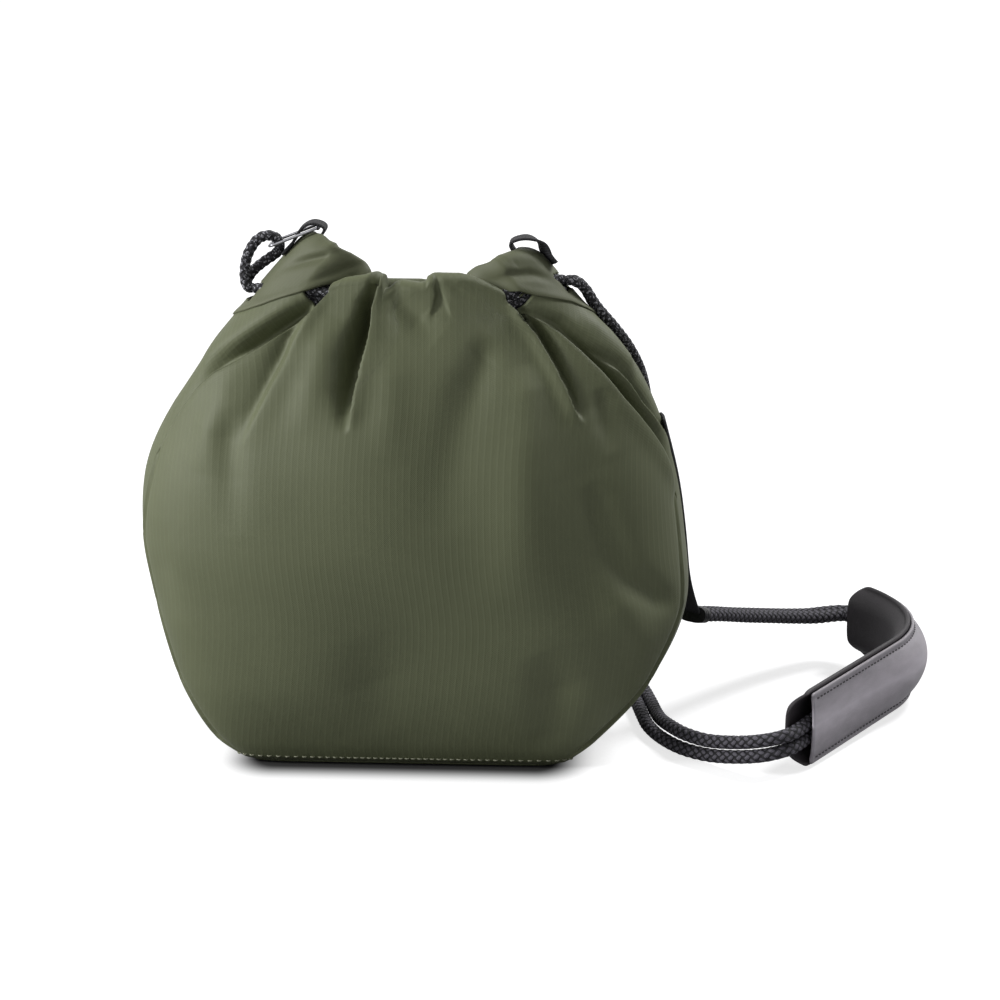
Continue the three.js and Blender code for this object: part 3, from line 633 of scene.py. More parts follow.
def make_stitches(name, spots, headings, outward, length, thread, finish):
    """A row of stitches: each is one short bent stretch of thread, its ends drawn into the cloth"""
    steps, sides = 5, 6
    along = np.linspace(-0.5, 0.5, steps)
    dip = thread * (0.55 - 3.2 * along ** 2 * 1.6)
    side = unit(np.cross(outward, headings))
    points, faces, places = [], [], []
    grid, grid_places = grid_faces(steps, sides, wrap_columns=True)
    for k in range(len(spots)):
        middle = (spots[k] + along[:, None] * length * headings[k] + dip[:, None] * outward[k])[:, None]
        spin = 2 * np.pi * np.arange(sides)[None, :, None] / sides
        reach = thread / 2 * np.array([0.6, 1, 1, 1, 0.6])[:, None, None]
        ring = middle + reach * (np.cos(spin) * side[k] + np.sin(spin) * outward[k])
        base = k * steps * sides
        points.append(ring.reshape(-1, 3))
        faces += (grid.reshape(-1, 4) + base).tolist()
        places += [*grid_places.reshape(-1, 4)]
        far_end = base + (steps - 1) * sides
        faces += [[base + j for j in reversed(range(sides))], [far_end + j for j in range(sides)]]
        places += [[0] * sides, [0] * sides]
    uv = np.stack(np.meshgrid(np.arange(sides + 1) / sides, along * length), axis=-1).reshape(-1, 2)
    made = make_piece(name, np.concatenate(points), faces, places, uv, finish)
    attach(made, "pouch")
    return made


def thread_finish(name, dark, pale):
    thread = Finish(name, roughness=0.6)
    turn, length = thread.weave_uv()
    twist = thread.wave(turn + length * 0.9, 0.5) * 0.5 + 0.5
    return thread.finish(thread.mix(twist, dark, pale), height=twist, depth=0.0001)


black_thread = thread_finish("black_thread", paint(12, 12, 14), paint(44, 42, 46))
pad_rows = []
for height in (pad_margin + pad_seam, pad_height - pad_margin - pad_seam):
    s = np.arange(4.5, pad_length - 21, pad_stitch_pitch)
    spot = pad_point(s, cover_out(s, height) + pad_cover / 2, height)
    ahead = pad_point(s + 0.5, cover_out(s + 0.5, height) + pad_cover / 2, height)
    heading = unit(ahead - spot)
    outward = unit(pad_point(s, cover_out(s, height) + 5, height) - spot)
    pad_rows.append((spot, heading, outward))
spots, headings, outwards = (np.concatenate(parts) for parts in zip(*pad_rows))
make_stitches("pad_stitches", spots, headings, outwards, 2.5, 0.75, black_thread)


# Outer cloth: olive ripstop nylon in four panels, gathered at the mouth into deep folds. The front
# panel turns over the mouth's rim as its own hem, and a side seam joins it to each gusset.

# Height, half width, half depth, squareness, side seam in degrees, shift to +X
stations = np.array([
    [0, 81, 49.6, 12, 45, -3.6], [12, 98.2, 54, 7, 52, -4.2], [40, 120, 61, 4, 61, -0.6],
    [75, 133, 65, 3, 68.5, 1.9], [110, 135.4, 66, 2.6, 73, -1.5], [150, 128.7, 61, 2.4, 68.5, -2.1],
    [190, 110, 48, 2.2, 56, -0.1], [225, 82.2, 31, 2.1, 36.5, -1], [258, 53.8, 22, 2, 22, -0.3],
])
mouth_height = 237
mouth_tilt = 7
hem_height = 16
hem_depth = 9.6
cloth = 1.2
wall_foot = 1.85
foot_roll = 1.0


def station(z, column):
    heights, values = stations[:, 0], stations[:, column]
    before = np.maximum(np.arange(len(heights)) - 1, 0)
    after = np.minimum(np.arange(len(heights)) + 1, len(heights) - 1)
    slope = (values[after] - values[before]) / (heights[after] - heights[before])
    k = np.clip(np.searchsorted(heights, z, side="right") - 1, 0, len(heights) - 2)
    span = heights[k + 1] - heights[k]
    t = (z - heights[k]) / span
    rise = values[k + 1] - values[k]
    return values[k] + rise * t + t * (1 - t) * (
        (slope[k] * span - rise) * (1 - t) + (rise - slope[k + 1] * span) * t)


def wall(angle, z, depth=0.0):
    """A point of the unfolded wall, a depth inside its outer face; angle 0 is the front, 90 the right"""
    angle, z, depth = np.broadcast_arrays(*(np.asarray(v, float) for v in (angle, z, depth)))
    across, along = np.sin(np.radians(angle)), -np.cos(np.radians(angle))
    square = station(z, 3)
    reach = (np.abs(across) ** square + np.abs(along) ** square) ** (-1 / square)
    half_width = station(z, 1) - depth * np.hypot(1, station(z + 1, 1) - station(z, 1))
    half_depth = station(z, 2) - depth * np.hypot(1, station(z + 1, 2) - station(z, 2))
    x = station(z, 5) + half_width * reach * across
    return np.stack([x, half_depth * reach * along, z], axis=-1)


def inwards(angle, z):
    """The level direction from the wall into the bag"""
    tangent = wall(angle + 0.5, z) - wall(angle - 0.5, z)
    return unit(np.stack([-tangent[..., 1], tangent[..., 0], 0 * tangent[..., 0]], axis=-1))


def seam_at(z):
    return station(z, 4)


# The cloth laid flat: how far round from the front's middle each angle lies, by height
flat_heights = np.arange(0, 268, 4.0)
flat_angles = np.arange(-270, 271, 1.0)
laid = wall(flat_angles[None, :], np.minimum(flat_heights, 258)[:, None])
steps = np.linalg.norm(np.diff(laid, axis=1), axis=-1)
laid = np.concatenate([np.zeros((len(flat_heights), 1)), np.cumsum(steps, axis=1)], axis=1)
laid -= laid[:, flat_angles == 0]


def run_of(angle, z):
    """Millimetres round the bag from the front's middle, at that height"""
    angle, z = np.broadcast_arrays(np.asarray(angle, float), np.asarray(z, float))
    row = np.clip(z / 4, 0, len(flat_heights) - 1.001)
    column = np.clip(angle + 270, 0, len(flat_angles) - 1.001)
    r, c = row.astype(int), column.astype(int)
    v, u = row - r, column - c
    return ((1 - v) * ((1 - u) * laid[r, c] + u * laid[r, c + 1])
            + v * ((1 - u) * laid[r + 1, c] + u * laid[r + 1, c + 1]))


# Creases: each line of spots, from the mouth down, gives angle, height, depth and softness. The
# valley lies on one side, 1 to the right and -1 to the left, and the cloth on the other side laps
# over it: it stands up by lip, and the valley's bottom slips under it by under.
creases = [
    # The deep dark crease left of the middle
    dict(valley=-1, steep=1.6, lip=1.8, under=3.0, spots=[
        (-9.6, 250, 7, 2.5), (-10, 238.5, 8, 3), (-12.2, 236, 9, 3.4), (-12.5, 231, 11, 4.2),
        (-12.8, 226, 16, 5), (-12.2, 218, 23, 6.2), (-12.4, 211, 25, 7.2), (-13.2, 200, 22, 7.6),
        (-13.6, 188, 15, 7), (-13.4, 178, 6, 5.5), (-12.8, 170, 0, 4.5)]),
    # The right lobe's edge, over the strip of the panel that runs down beside the seam
    dict(valley=1, steep=1.1, lip=2.8, under=2.2, spots=[
        (36.8, 228.5, 0, 3), (38, 223, 6, 3.4), (40.2, 213.5, 10, 4), (40.4, 206.5, 10, 4.4),
        (40.6, 200, 9, 4.8), (41, 188, 7, 5), (41.2, 180, 5, 4.6), (42.2, 173, 0, 4)]),
    # The right seam, its gusset drawn in behind the panel
    dict(valley=1, steep=1.1, lip=2.4, under=2.2, spots=[
        (38.8, 223, 0, 3), (45, 219, 3, 4), (50, 214, 6, 5), (53.5, 205, 9, 5.5), (56.5, 195.5, 12, 6),
        (59.3, 183, 14, 6.5), (64, 171, 14, 7), (70.3, 156.5, 11, 7), (74.5, 143, 5, 6),
        (76, 128, 0, 6)]),
    # The left seam
    dict(valley=-1, steep=1.4, lip=2.0, under=1.6, spots=[
        (-32.6, 229, 3, 4), (-34.2, 224, 7, 5), (-36.8, 218.5, 11, 6), (-41.8, 212, 13.5, 7),
        (-46.8, 205.5, 14, 7.6), (-52, 199, 13, 8), (-59, 193, 11, 8), (-63, 185.5, 8, 8), (-67, 175, 4, 8),
        (-70, 161, 0, 7)]),
    # The soft valley between the left seam and the deep crease
    dict(valley=-1, steep=3.2, lip=2.2, under=0, spots=[
        (-33.4, 222, 0, 5), (-34, 217, 5, 6), (-34.6, 209, 7.5, 7.5), (-34.6, 200, 8, 8),
        (-35.6, 188, 7, 8.5), (-36.4, 174, 4, 9), (-37, 160, 0, 9)]),
    # Small tucks right of the notch
    dict(valley=1, steep=1.5, lip=1.0, under=0.3, spots=[
        (8.6, 250, 1.6, 3), (8.6, 238.5, 2.2, 3.6), (8.8, 232, 2.4, 4.4), (7.4, 226, 1.6, 5),
        (5, 219, 0, 5)]),
    dict(valley=-1, steep=1.5, lip=0.6, under=0.2, spots=[
        (10.2, 242, 0, 3), (11.4, 236, 0.8, 3.6), (13.4, 228.5, 1.5, 5), (14.6, 220, 0, 5)]),
    dict(valley=-1, steep=1.5, lip=0.6, under=0, spots=[
        (13.4, 240.5, 0, 3), (19.2, 236.5, 0.9, 3.6), (25.2, 232, 0, 3.6)]),
    # The crease beside the right gusset's ridge
    dict(valley=1, steep=1.2, lip=2.8, under=0.6, spots=[
        (58, 203, 0, 4), (66.2, 193.5, 4, 5), (69, 186.5, 5, 5), (71.5, 178.5, 6, 5), (77, 169, 6, 5),
        (84, 160, 3, 5), (90, 151, 0, 5)]),
    # Both front seams further down, each gusset sewn a little behind the panel's edge
    dict(valley=1, steep=0.9, lip=1.6, under=0.8, spots=[
        (45.4, 2, 0, 2.5), (49, 12, 3.2, 3), (60, 40, 3, 3), (68.5, 75, 1.8, 3), (73, 110, 1.6, 3),
        (75, 130, 1, 4)]),
    dict(valley=-1, steep=0.9, lip=1.6, under=0.8, spots=[
        (-45.4, 2, 0, 2.5), (-50, 12, 2.4, 3), (-60, 40, 2.2, 3), (-68.5, 75, 1.8, 3), (-73, 110, 1.6, 3),
        (-71.5, 150, 1, 4)]),
    # The line under the left seam's upper end
    dict(valley=-1, steep=1.2, lip=0.5, under=0, spots=[
        (-34.4, 216, 0, 3), (-36, 212, 1.4, 3), (-38.5, 207, 0, 3)]),
]
# Soft dents and swells: angle, height, depth (a swell's is negative) and width of each spot
swells = [
    [(-7, 236, 1, 4), (-2.4, 228, 2.4, 5), (3.2, 221, 2.8, 6), (9, 213, 0, 7)],
    [(26, 211, 0, 8), (20.5, 203, 3.6, 8), (16, 190, 4.4, 10), (12.6, 172, 3, 12), (10, 150, 2, 14),
     (8, 120, 0, 14)],
    [(32, 200, 0, 9), (30, 189, -2.4, 9), (27.5, 166, -3, 12), (25, 139, -2.6, 14), (23, 110, -2, 15),
     (21, 80, 0, 15)],
    [(40, 172, 0, 10), (40, 150, 2.2, 15), (38, 110, 2.4, 16), (35, 70, 0, 16)],
    [(51.5, 188, 0, 4), (50.5, 181, 2.4, 5), (48.8, 172, 2.4, 5), (48.5, 158, 0, 5)],
    [(39, 144, 0, 6), (41.2, 134, 2.6, 7), (43, 115, 3.4, 8), (46, 98.5, 3.6, 8), (54, 86, 3.4, 7),
     (64, 78, 0, 6)],
    [(40, 104, 0, 9), (43, 84, -2.4, 10), (48, 66, -2, 10), (50, 50, 0, 10)],
    [(26.5, 64, 0, 9), (31, 44, 3.4, 11), (34.8, 22, 2, 10), (36, 8, 0, 8)],
    [(-50, 200, 0, 6), (-51, 186, -2.4, 8), (-49, 168, -2.4, 9), (-46, 146, 0, 9)],
    [(-45, 178, 0, 6), (-42, 164, 2.6, 7), (-38, 145, 2.2, 8), (-35, 118, 0, 9)],
    [(-26, 222, 0, 7), (-25.5, 208, -3, 7.5), (-25, 190, -2.6, 8.5), (-24, 165, 0, 10)],
    [(-7, 212, 0, 8), (-5, 196, -2, 9), (-4, 176, -1.6, 9), (-3, 155, 0, 9)],
    [(-43, 228, 0, 4), (-52, 216.5, -3, 6), (-60, 207, -4, 7), (-68, 198, -3.6, 8), (-76, 186, 0, 8)],
    [(70, 222, 0, 4), (75, 216, -3, 4.5), (78, 208, -3.6, 5), (78.5, 198, -3, 5), (75, 188, 0, 5)],
    [(-62, 120, 0, 9), (-58, 96, 2, 10), (-54, 70, 0, 10)],
    [(-12, 70, 0, 14), (-8, 46, 1.6, 14), (-4, 20, 0, 12)],
    [(-88, 196, 0, 12), (-88, 172, -2, 13), (-88, 140, -2.6, 14), (-88, 110, -1.5, 14), (-88, 86, 0, 14)],
]
back_creases = [
    dict(valley=1, steep=3.2, lip=0.8, under=0, spots=[
        (205, 240, 4, 6), (205, 229, 7, 8), (206, 205, 7, 9), (206, 175, 4, 9), (206, 145, 0, 9)]),
    dict(valley=-1, steep=3.2, lip=0.8, under=0, spots=[
        (180, 240, 4, 6), (180, 228, 7, 8), (179, 200, 7, 9), (179, 160, 0, 9)]),
    dict(valley=-1, steep=3.2, lip=0.8, under=0, spots=[
        (157, 240, 4, 6), (156, 229, 7, 8), (155, 200, 7, 9), (154, 172, 4, 9), (152, 145, 0, 9)]),
    dict(valley=-1, steep=2.4, lip=0.8, under=0, spots=[
        (142, 222, 3, 7), (136, 213, 5, 9), (126, 197, 6, 10), (117, 176, 4, 10), (110, 150, 0, 9)]),
    dict(valley=1, steep=2.4, lip=0.8, under=0, spots=[
        (218, 222, 3, 7), (224, 213, 5, 9), (234, 197, 6, 10), (243, 176, 4, 10), (250, 150, 0, 9)]),
]
for crease in creases + back_creases:
    crease["spots"] = np.array(
        [(run_of(a, min(z, 256)), z, d, w) for a, z, d, w in crease["spots"]], float)
swells = [np.array([(run_of(a, z), z, d, w) for a, z, d, w in spots], float) for spots in swells]


def nearest_on(spots, flat):
    """Distance to a line of spots, to its right positive, with the depth, width and normal there"""
    nearest = np.full(flat.shape[:-1], 1e9)
    signed, depth, width = (np.zeros(flat.shape[:-1]) for _ in range(3))
    normal = np.zeros(flat.shape)
    for first, second in zip(spots[:-1], spots[1:]):
        step = second[:2] - first[:2]
        length = np.hypot(*step)
        heading = step / length
        offset = flat - first[:2]
        t = np.clip(offset @ heading / length, 0, 1)
        reach = np.linalg.norm(offset - t[..., None] * step, axis=-1)
        right = heading[0] * offset[..., 1] - heading[1] * offset[..., 0]
        closer = reach < nearest
        nearest = np.where(closer, reach, nearest)
        signed = np.where(closer, np.where(right > 0, reach, -reach), signed)
        depth = np.where(closer, first[2] + t * (second[2] - first[2]), depth)
        width = np.where(closer, first[3] + t * (second[3] - first[3]), width)
        normal[closer] = (-heading[1], heading[0])
    return signed, depth, width, normal


def folds(angle, z):
    """How far the folds draw the cloth inwards, and how far they slip it round and up"""
    angle, z = np.broadcast_arrays(np.asarray(angle, float), np.asarray(z, float))
    flat = np.stack([run_of(angle, z), z], axis=-1)
    inward, slip = np.zeros(angle.shape), np.zeros(flat.shape)
    for crease in creases + back_creases:
        signed, depth, width, normal = nearest_on(crease["spots"], flat)
        inside = signed * crease["valley"]
        full = np.clip(depth / 7, 0, 1)
        fall = 1 - np.exp(-(np.maximum(inside, 0) / crease["steep"]) ** 2)
        inward += depth * fall * np.exp(-(np.maximum(inside, 0) / width) ** 2)
        edge = np.where(inside > 0, crease["steep"], width * 0.9)
        inward -= full * crease["lip"] * np.exp(-(inside / edge) ** 2)
        share = (np.maximum(inside, 0) / crease["steep"]) ** 2
        under = full * crease["under"] * share * np.exp(1 - share)
        slip -= (crease["valley"] * under)[..., None] * normal
    for spots in swells:
        signed, depth, width, _ = nearest_on(spots, flat)
        inward += depth * np.exp(-(signed / width) ** 2)
    inward += foot_roll * np.clip(1 - z / 3, 0, 1) ** 2
    return inward, slip


def slack(angle, z):
    """Broad unevenness of a filled cloth bag, none at the base"""
    run = run_of(angle, z)
    waves = (
        1.1 * np.sin(run / 31 + 0.7 + z / 90) * np.sin(z / 47 + 0.4)
        + 0.6 * np.sin(run / 17 - z / 55 + 2.1) + 0.35 * np.sin(run / 11 + z / 23)
    )
    to_seam = np.minimum(np.abs(angle + 180 - seam_at(z)), np.abs(angle - 180 - seam_at(z)))
    by_height = smoothstep(4, 60, z) * (1 - 0.6 * smoothstep(200, 235, z))
    return waves * by_height * smoothstep(0, 14, to_seam)


def shell(angle, z, depth=0.0):
    """A point of the folded wall"""
    angle, z, depth = np.broadcast_arrays(*(np.asarray(v, float) for v in (angle, z, depth)))
    inward, slip = folds(angle, z)
    per_degree = run_of(angle + 0.5, z) - run_of(angle - 0.5, z)
    moved = angle + slip[..., 0] / per_degree
    level = np.clip(z + slip[..., 1], 0, 258)
    point = wall(moved, level, depth)
    point[..., 2] = z + slip[..., 1]
    return point + inwards(moved, level) * (inward + slack(angle, z))[..., None]


def mouth_line(angle):
    return mouth_height + mouth_tilt * np.cos(np.radians(angle))


# Where the front panel's edges and the gussets' front edges run: they part below the ears, and
# the drawcord shows between them
front_seams = {
    "right": ([0, 12, 40, 75, 110, 130, 145, 156, 171, 183, 195, 205, 214, 219, 223, 228, 234.5, 242],
              [45, 49, 60, 68.5, 73, 75, 74.2, 70.5, 64, 59.4, 56.5, 53.5, 50, 45, 38.8, 36, 35, 34]),
    "left": ([0, 12, 40, 75, 110, 150, 161, 175, 185, 193, 199, 205.5, 212, 218.5, 224, 229, 233.5, 242],
             [45, 50, 60, 68.5, 73, 71.5, 70, 67, 63, 58, 52, 46.8, 41.8, 36.8, 34.2, 32.5, 30.8, 30]),
}


def front_seam(hand, z):
    return np.interp(z, *front_seams[hand])


def climbed_on(grid):
    """Millimetres along each column of the grid from its first row"""
    steps = np.linalg.norm(np.diff(grid, axis=0), axis=-1)
    return np.concatenate([np.zeros((1, grid.shape[1])), np.cumsum(steps, axis=0)])


def cloth_uv(angle, z, grid):
    """Ribs run up the cloth: u round the bag laid flat, v along each column of the grid, in mm"""
    return np.stack([run_of(angle, z), climbed_on(grid)], axis=-1)


def cloth_area(grid):
    a, b = grid[1:, :-1] - grid[:-1, :-1], grid[:-1, 1:] - grid[:-1, :-1]
    return float(np.linalg.norm(np.cross(a, b), axis=-1).sum()) / 1e6


def nylon_finish(name, dark, pale, ribs):
    """Nylon with a fine weave; ribs gives the strength of its raised lines, 3.2 mm apart"""
    nylon = Finish(name, roughness=0.6, specular_ior_level=0.35, sheen_weight=0.08, sheen_roughness=0.4)
    u, v = nylon.weave_uv()
    waver = nylon.cloud(14.0, 2.0)
    rib = (nylon.wave(u + waver * 1.2, 3.2) * 0.5 + 0.5) ** 4.0
    broken = nylon.cloud(260.0, 1.0, (1, 1, 0.25)) * 1.6
    fine = nylon.wave(u, 1.0) * nylon.wave(v, 1.0)
    patches = nylon.cloud(16.0, 3.0) * 0.6 + nylon.cloud(140.0, 2.0) * 0.2
    colour = nylon.mix(patches + rib * broken * (0.16 * ribs) + fine * 0.05, dark, pale)
    return nylon.finish(
        colour, roughness=patches * 0.12 + 0.52, height=rib * (0.4 * ribs) + fine * 0.3, depth=0.0001)


olive_nylon = nylon_finish("olive_nylon", paint(82, 87, 62), paint(104, 109, 81), 1.0)


def declare_cloth(piece, node_names, grid):
    """Attaches the piece to the pouch and hides the parts it replaces; its flat size is measured on the
    folded grid itself
    """
    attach(piece, "pouch")
    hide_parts(*node_names)
    area = cloth_area(grid)


def rows_between(foot, top, count, squeeze=1.3):
    """Rows of heights from foot to top, closer together towards the top"""
    t = 1 - (1 - np.linspace(0, 1, count)) ** squeeze
    return foot + (top - foot) * t[:, None]


seam_half = 0.25
front_columns = 228
across_front = np.linspace(0, 1, front_columns)[None, :]


def front_angle(z):
    left, right = -front_seam("left", z) + seam_half, front_seam("right", z) - seam_half
    return left + (right - left) * across_front


# The front's rim: two lobes with a flat dip between them, where the cloth is drawn tight
rim_x = wall(front_angle(np.full((1, 1), 240.0)), 240.0)[..., 0]
front_rim = np.interp(
    rim_x,
    [-39, -36, -32.7, -28, -24, -20.5, -16, -13.8, -12.6, -11.2, -9.4, -7.6, -5, 3.8, 6.4, 7.6, 10,
     13.6, 24, 28.8, 33, 37, 40],
    [233, 236.8, 239, 240, 240.6, 241.8, 242.2, 241.3, 237.6, 234.4, 235.4, 237.8, 238.6, 237.6, 238.2,
     240.4, 241.6, 242, 241.8, 240.6, 238.4, 235.4, 232.4])
bend = hem_depth / 2
over_bend = np.linspace(0, np.pi, 13)[1:-1, None]
down_inside = np.linspace(0, 1, 9)[:, None]


def make_panel(name, angle_at, rim, count, node_names):
    """A panel from the foot up, over the rim's bend and down inside as its own hem"""
    outer = rows_between(wall_foot, rim - bend, count) + 0 * rim
    inside = (rim - bend) + (bend - hem_height) * down_inside
    level = np.concatenate([outer, np.repeat(rim - bend, len(over_bend), axis=0), inside])
    angle = angle_at(level)
    layers = []
    for inset in (0.0, cloth):
        crest = (rim - bend) + (bend - inset) * np.sin(over_bend)
        z = np.concatenate([outer, crest, inside])
        crest_depth = bend - (bend - inset) * np.cos(over_bend) + 0 * crest
        depth = np.concatenate([0 * outer + inset, crest_depth, 0 * inside + hem_depth - inset])
        layers.append(shell(angle, level, depth) + np.stack([0 * z, 0 * z, z - level], axis=-1))
    panel = thick_sheet(name, *layers, cloth_uv(angle, level, layers[0]), olive_nylon, "shell_cloth")
    declare_cloth(panel, node_names, layers[0])


make_panel("front_cloth", front_angle, front_rim, 172, ["front_panel", "front_hem_casing"])

# The back panel narrows in the same way under the ears, and its rim is one smooth line
back_columns = 190
across_back = np.linspace(0, 1, back_columns)[None, :]
back_hem_end = 36


def back_angle(z):
    narrowing = np.interp(z, [205, 216], [48.0, back_hem_end + 1.0])
    half = np.where(z < 205, seam_at(z), narrowing) - seam_half
    return 180 - half + 2 * half * across_back


back_rim = mouth_line(back_angle(np.full((1, 1), 226.0)))
make_panel("back_cloth", back_angle, back_rim, 120, ["back_panel", "back_hem_casing"])

# The gussets, up to the ears' lower edges, which climb towards the front under the front's rim
ear_foot = {
    "right": ([24, 31, 36, 44, 50.2, 59.2, 71, 85.8, 96, 136, 150],
              [226, 229.5, 232, 233, 230.5, 228.5, 226, 220, 217.5, 215, 213]),
    "left": ([18, 20.5, 26.8, 32, 38, 44, 52.5, 61, 72, 90, 136, 150],
             [226, 229, 233, 235.4, 234.8, 231.5, 228, 224, 220, 216, 214.5, 213]),
}
gusset_columns = 110
for hand, sign in (("right", 1), ("left", -1)):
    across = np.linspace(0, 1, gusset_columns)[None, :]

    def gusset_angle(z):
        parted = {"right": [223.5, 231, 240], "left": [224, 232, 240]}[hand]
        behind_rim = {"right": 50, "left": 43.5}[hand]
        parting = np.interp(z, parted, [float(front_seam(hand, parted[0])), behind_rim, 56])
        start = np.where(z < parted[0], front_seam(hand, z), parting)
        start, end = start + seam_half, 180 - seam_at(z) - seam_half
        return start + (end - start) * across

    top_from_front = gusset_angle(np.full((1, 1), 226.0))
    top = np.minimum(np.interp(top_from_front, *ear_foot[hand]), 232.0) + 0.4
    z = rows_between(wall_foot, top, 160)
    angle = gusset_angle(z)
    layers = [shell(sign * angle, z, depth) for depth in (0.3, 0.3 + cloth)]
    if hand == "left":
        layers = [layer[:, ::-1] for layer in layers]
        angle, z = -angle[:, ::-1], z[:, ::-1]
    gusset = thick_sheet(
        hand + "_gusset_cloth", *layers, cloth_uv(angle, z, layers[0]), olive_nylon, "shell_cloth")
    declare_cloth(gusset, [hand + "_gusset"], layers[0])


# Ears: the hem of each gusset, a flat sleeve of smoother cloth that stands up at the side and holds
# the drawcords. Its ends are tucked behind the front and back hems, and a cord leaves at its tip.

ear_lift = 4
crown_depth = {"left": 6.2, "right": 8.8}
exit_height = 8.4
upper_drop = 6.2
lower_drop = upper_drop + 5.6
plain_nylon = nylon_finish("plain_nylon", paint(82, 86, 63), paint(102, 106, 80), 0.25)
# Height of each ear's upper edge by degrees from the front
ear_crown = {
    "right": ([24, 30, 33, 37.5, 44, 50, 60, 70, 90, 110, 120, 130, 136],
              [231, 235.5, 239.4, 243.6, 247.4, 249.2, 250.4, 251, 251, 250, 246, 238, 232]),
    "left": ([19, 22, 25, 32, 37, 46.5, 53, 60, 68, 90, 108, 120, 130, 136],
             [231, 236.5, 241, 246.2, 249.8, 254.6, 255.5, 257, 258, 258, 256, 250, 241, 234]),
}
# Soft creases from the front end of an ear up to its tip: each spot's degrees from the front,
# height, depth and width
ear_creases = {
    "left": [
        [(34, 251.5, 0, 2), (41, 250.5, 1.6, 2.2), (57, 245, 1.4, 2.6), (72, 240, 0, 3)],
        [(32.5, 248.5, 0, 2), (45, 247, 1.5, 2.4), (70, 243, 0, 3)],
        [(26, 245.5, 0, 1.6), (33.8, 243, 1.5, 2), (40, 237.5, 1, 2), (46, 234, 0, 2)],
    ],
    "right": [
        [(36, 236, 0, 2), (45, 240.5, 1.9, 2.4), (58, 240, 1.5, 2.6), (72, 236, 0, 3)],
        [(40, 246, 0, 2), (52, 245.5, 1.2, 2.4), (66, 246.5, 0, 3)],
    ],
}


def cord_height(angle, drop):
    """A drawcord's height round the mouth: lower at the front, where the rim is drawn down"""
    front = np.minimum(np.abs(angle), 360 - np.abs(angle))
    drawn = 7 * smoothstep(62, 40, front)
    return mouth_line(angle) - drop + ear_lift * np.sin(np.radians(angle)) ** 2 - drawn


ear_columns = 130
ear_rows = 28
wall_limit = 257.5  # the ears stand up higher than the last of the stations
for hand, sign, first, drop in (("right", 1, 24.0, upper_drop), ("left", -1, 19.0, lower_drop)):
    from_front = np.linspace(first, 136, ear_columns)[None, :]
    tucked = 11.0 * smoothstep(44, first + 8, from_front)
    foot = np.interp(from_front, *ear_foot[hand])
    tip = np.maximum(np.interp(from_front, *ear_crown[hand]), foot + 3)
    height = np.minimum(hem_depth, (tip - foot) * 0.9)
    layers = []
    for inset in (0.0, cloth):
        crown = tip - height / 2
        low = foot + inset
        outer_z = low + (crown - low) * np.linspace(0, 1, ear_rows)[:, None]
        arc = np.linspace(0, np.pi, 11)[1:-1, None]
        arc_z = crown + (height / 2 - inset) * np.sin(arc)
        thin = crown_depth[hand]
        arc_depth = thin / 2 - (thin / 2 - inset) * np.cos(arc) + 0 * arc_z
        inner_depth = hem_depth - (hem_depth - thin) * smoothstep(-6, 0, outer_z[::-1] - crown)
        z = np.concatenate([outer_z, arc_z, outer_z[::-1]])
        depth = np.concatenate([
            inset - 0.6 * np.exp(-((outer_z - foot - 1.5) / 2.5) ** 2), arc_depth, inner_depth - inset])
        fade = np.concatenate([1 + 0 * outer_z, np.cos(arc / 2) ** 2 + 0 * arc_z, 0 * outer_z])
        flat = np.stack([from_front + 0 * z, z], axis=-1)
        for spots in ear_creases[hand]:
            signed, dent, width, _ = nearest_on(np.array(spots, float), flat)
            depth = depth + fade * dent * np.exp(-(signed / width) ** 2)
        angle = sign * from_front + 0 * z
        points = shell(angle, np.minimum(z, wall_limit), depth + tucked)
        points[..., 2] += z - np.minimum(z, wall_limit)
        layers.append(points)
    slot_z = cord_height(90, drop)
    quads = np.ones((z.shape[0], ear_columns - 1), bool)
    middle_z = (z[:-1, :-1] + z[1:, 1:]) / 2
    around = (from_front[0, :-1] + from_front[0, 1:]) / 2
    at_height = np.abs(middle_z[:ear_rows - 1] - slot_z) < exit_height / 2
    quads[:ear_rows - 1][at_height & (np.abs(around - 90)[None, :] < 15)] = False
    if hand == "left":
        layers = [layer[:, ::-1] for layer in layers]
        quads, angle, z = quads[:, ::-1], angle[:, ::-1], z[:, ::-1]
    uv = cloth_uv(angle, np.minimum(z, 250), layers[0])
    uv = np.concatenate([uv, uv[-1:] + [0, hem_depth]])
    ear = thick_sheet(hand + "_ear", *layers, uv, plain_nylon, "shell_cloth", keep=quads, wrap_rows=True)
    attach(ear, "pouch")
    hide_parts(hand + "_ear_casing")


# Drawcords inside the hems: each goes once round the mouth. They show in the gaps beside the ears
# and where each comes out of its ear.

for name, exit_angle, drop in (("left_drawcord", 270, lower_drop), ("right_drawcord", 90, upper_drop)):
    offsets = np.concatenate([[6.2, 13, 21], np.linspace(27, 333, 154), [339, 347, 353.8]])
    in_hem = hem_depth / 2
    depths = np.interp(offsets, [6.2, 13, 21, 339, 347, 353.8], [-0.2, 2.2, in_hem, in_hem, 2.2, -0.2])
    angle = exit_angle + offsets
    angle = np.where(angle > 270, angle - 360, angle)
    drawn_in, _ = folds(angle, cord_height(angle, drop))
    widened = np.pad(drawn_in, 6, mode="edge")
    deepest = np.max([widened[k:k + len(angle)] for k in range(3, 10)], axis=0)
    soft = np.convolve(np.pad(deepest, 3, mode="edge"), np.ones(7) / 7, mode="valid")
    route = shell(angle, cord_height(angle, drop), depths + soft - drawn_in)
    cord = make_drawcord(name + "_round", smooth_line(route, 1.0), name)
    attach(cord, "pouch")


# Webbing: black ribbed nylon tape. A loop is sewn over the tip of each ear, and a wider length runs
# down each gusset and then freely to the strap's ferrule.

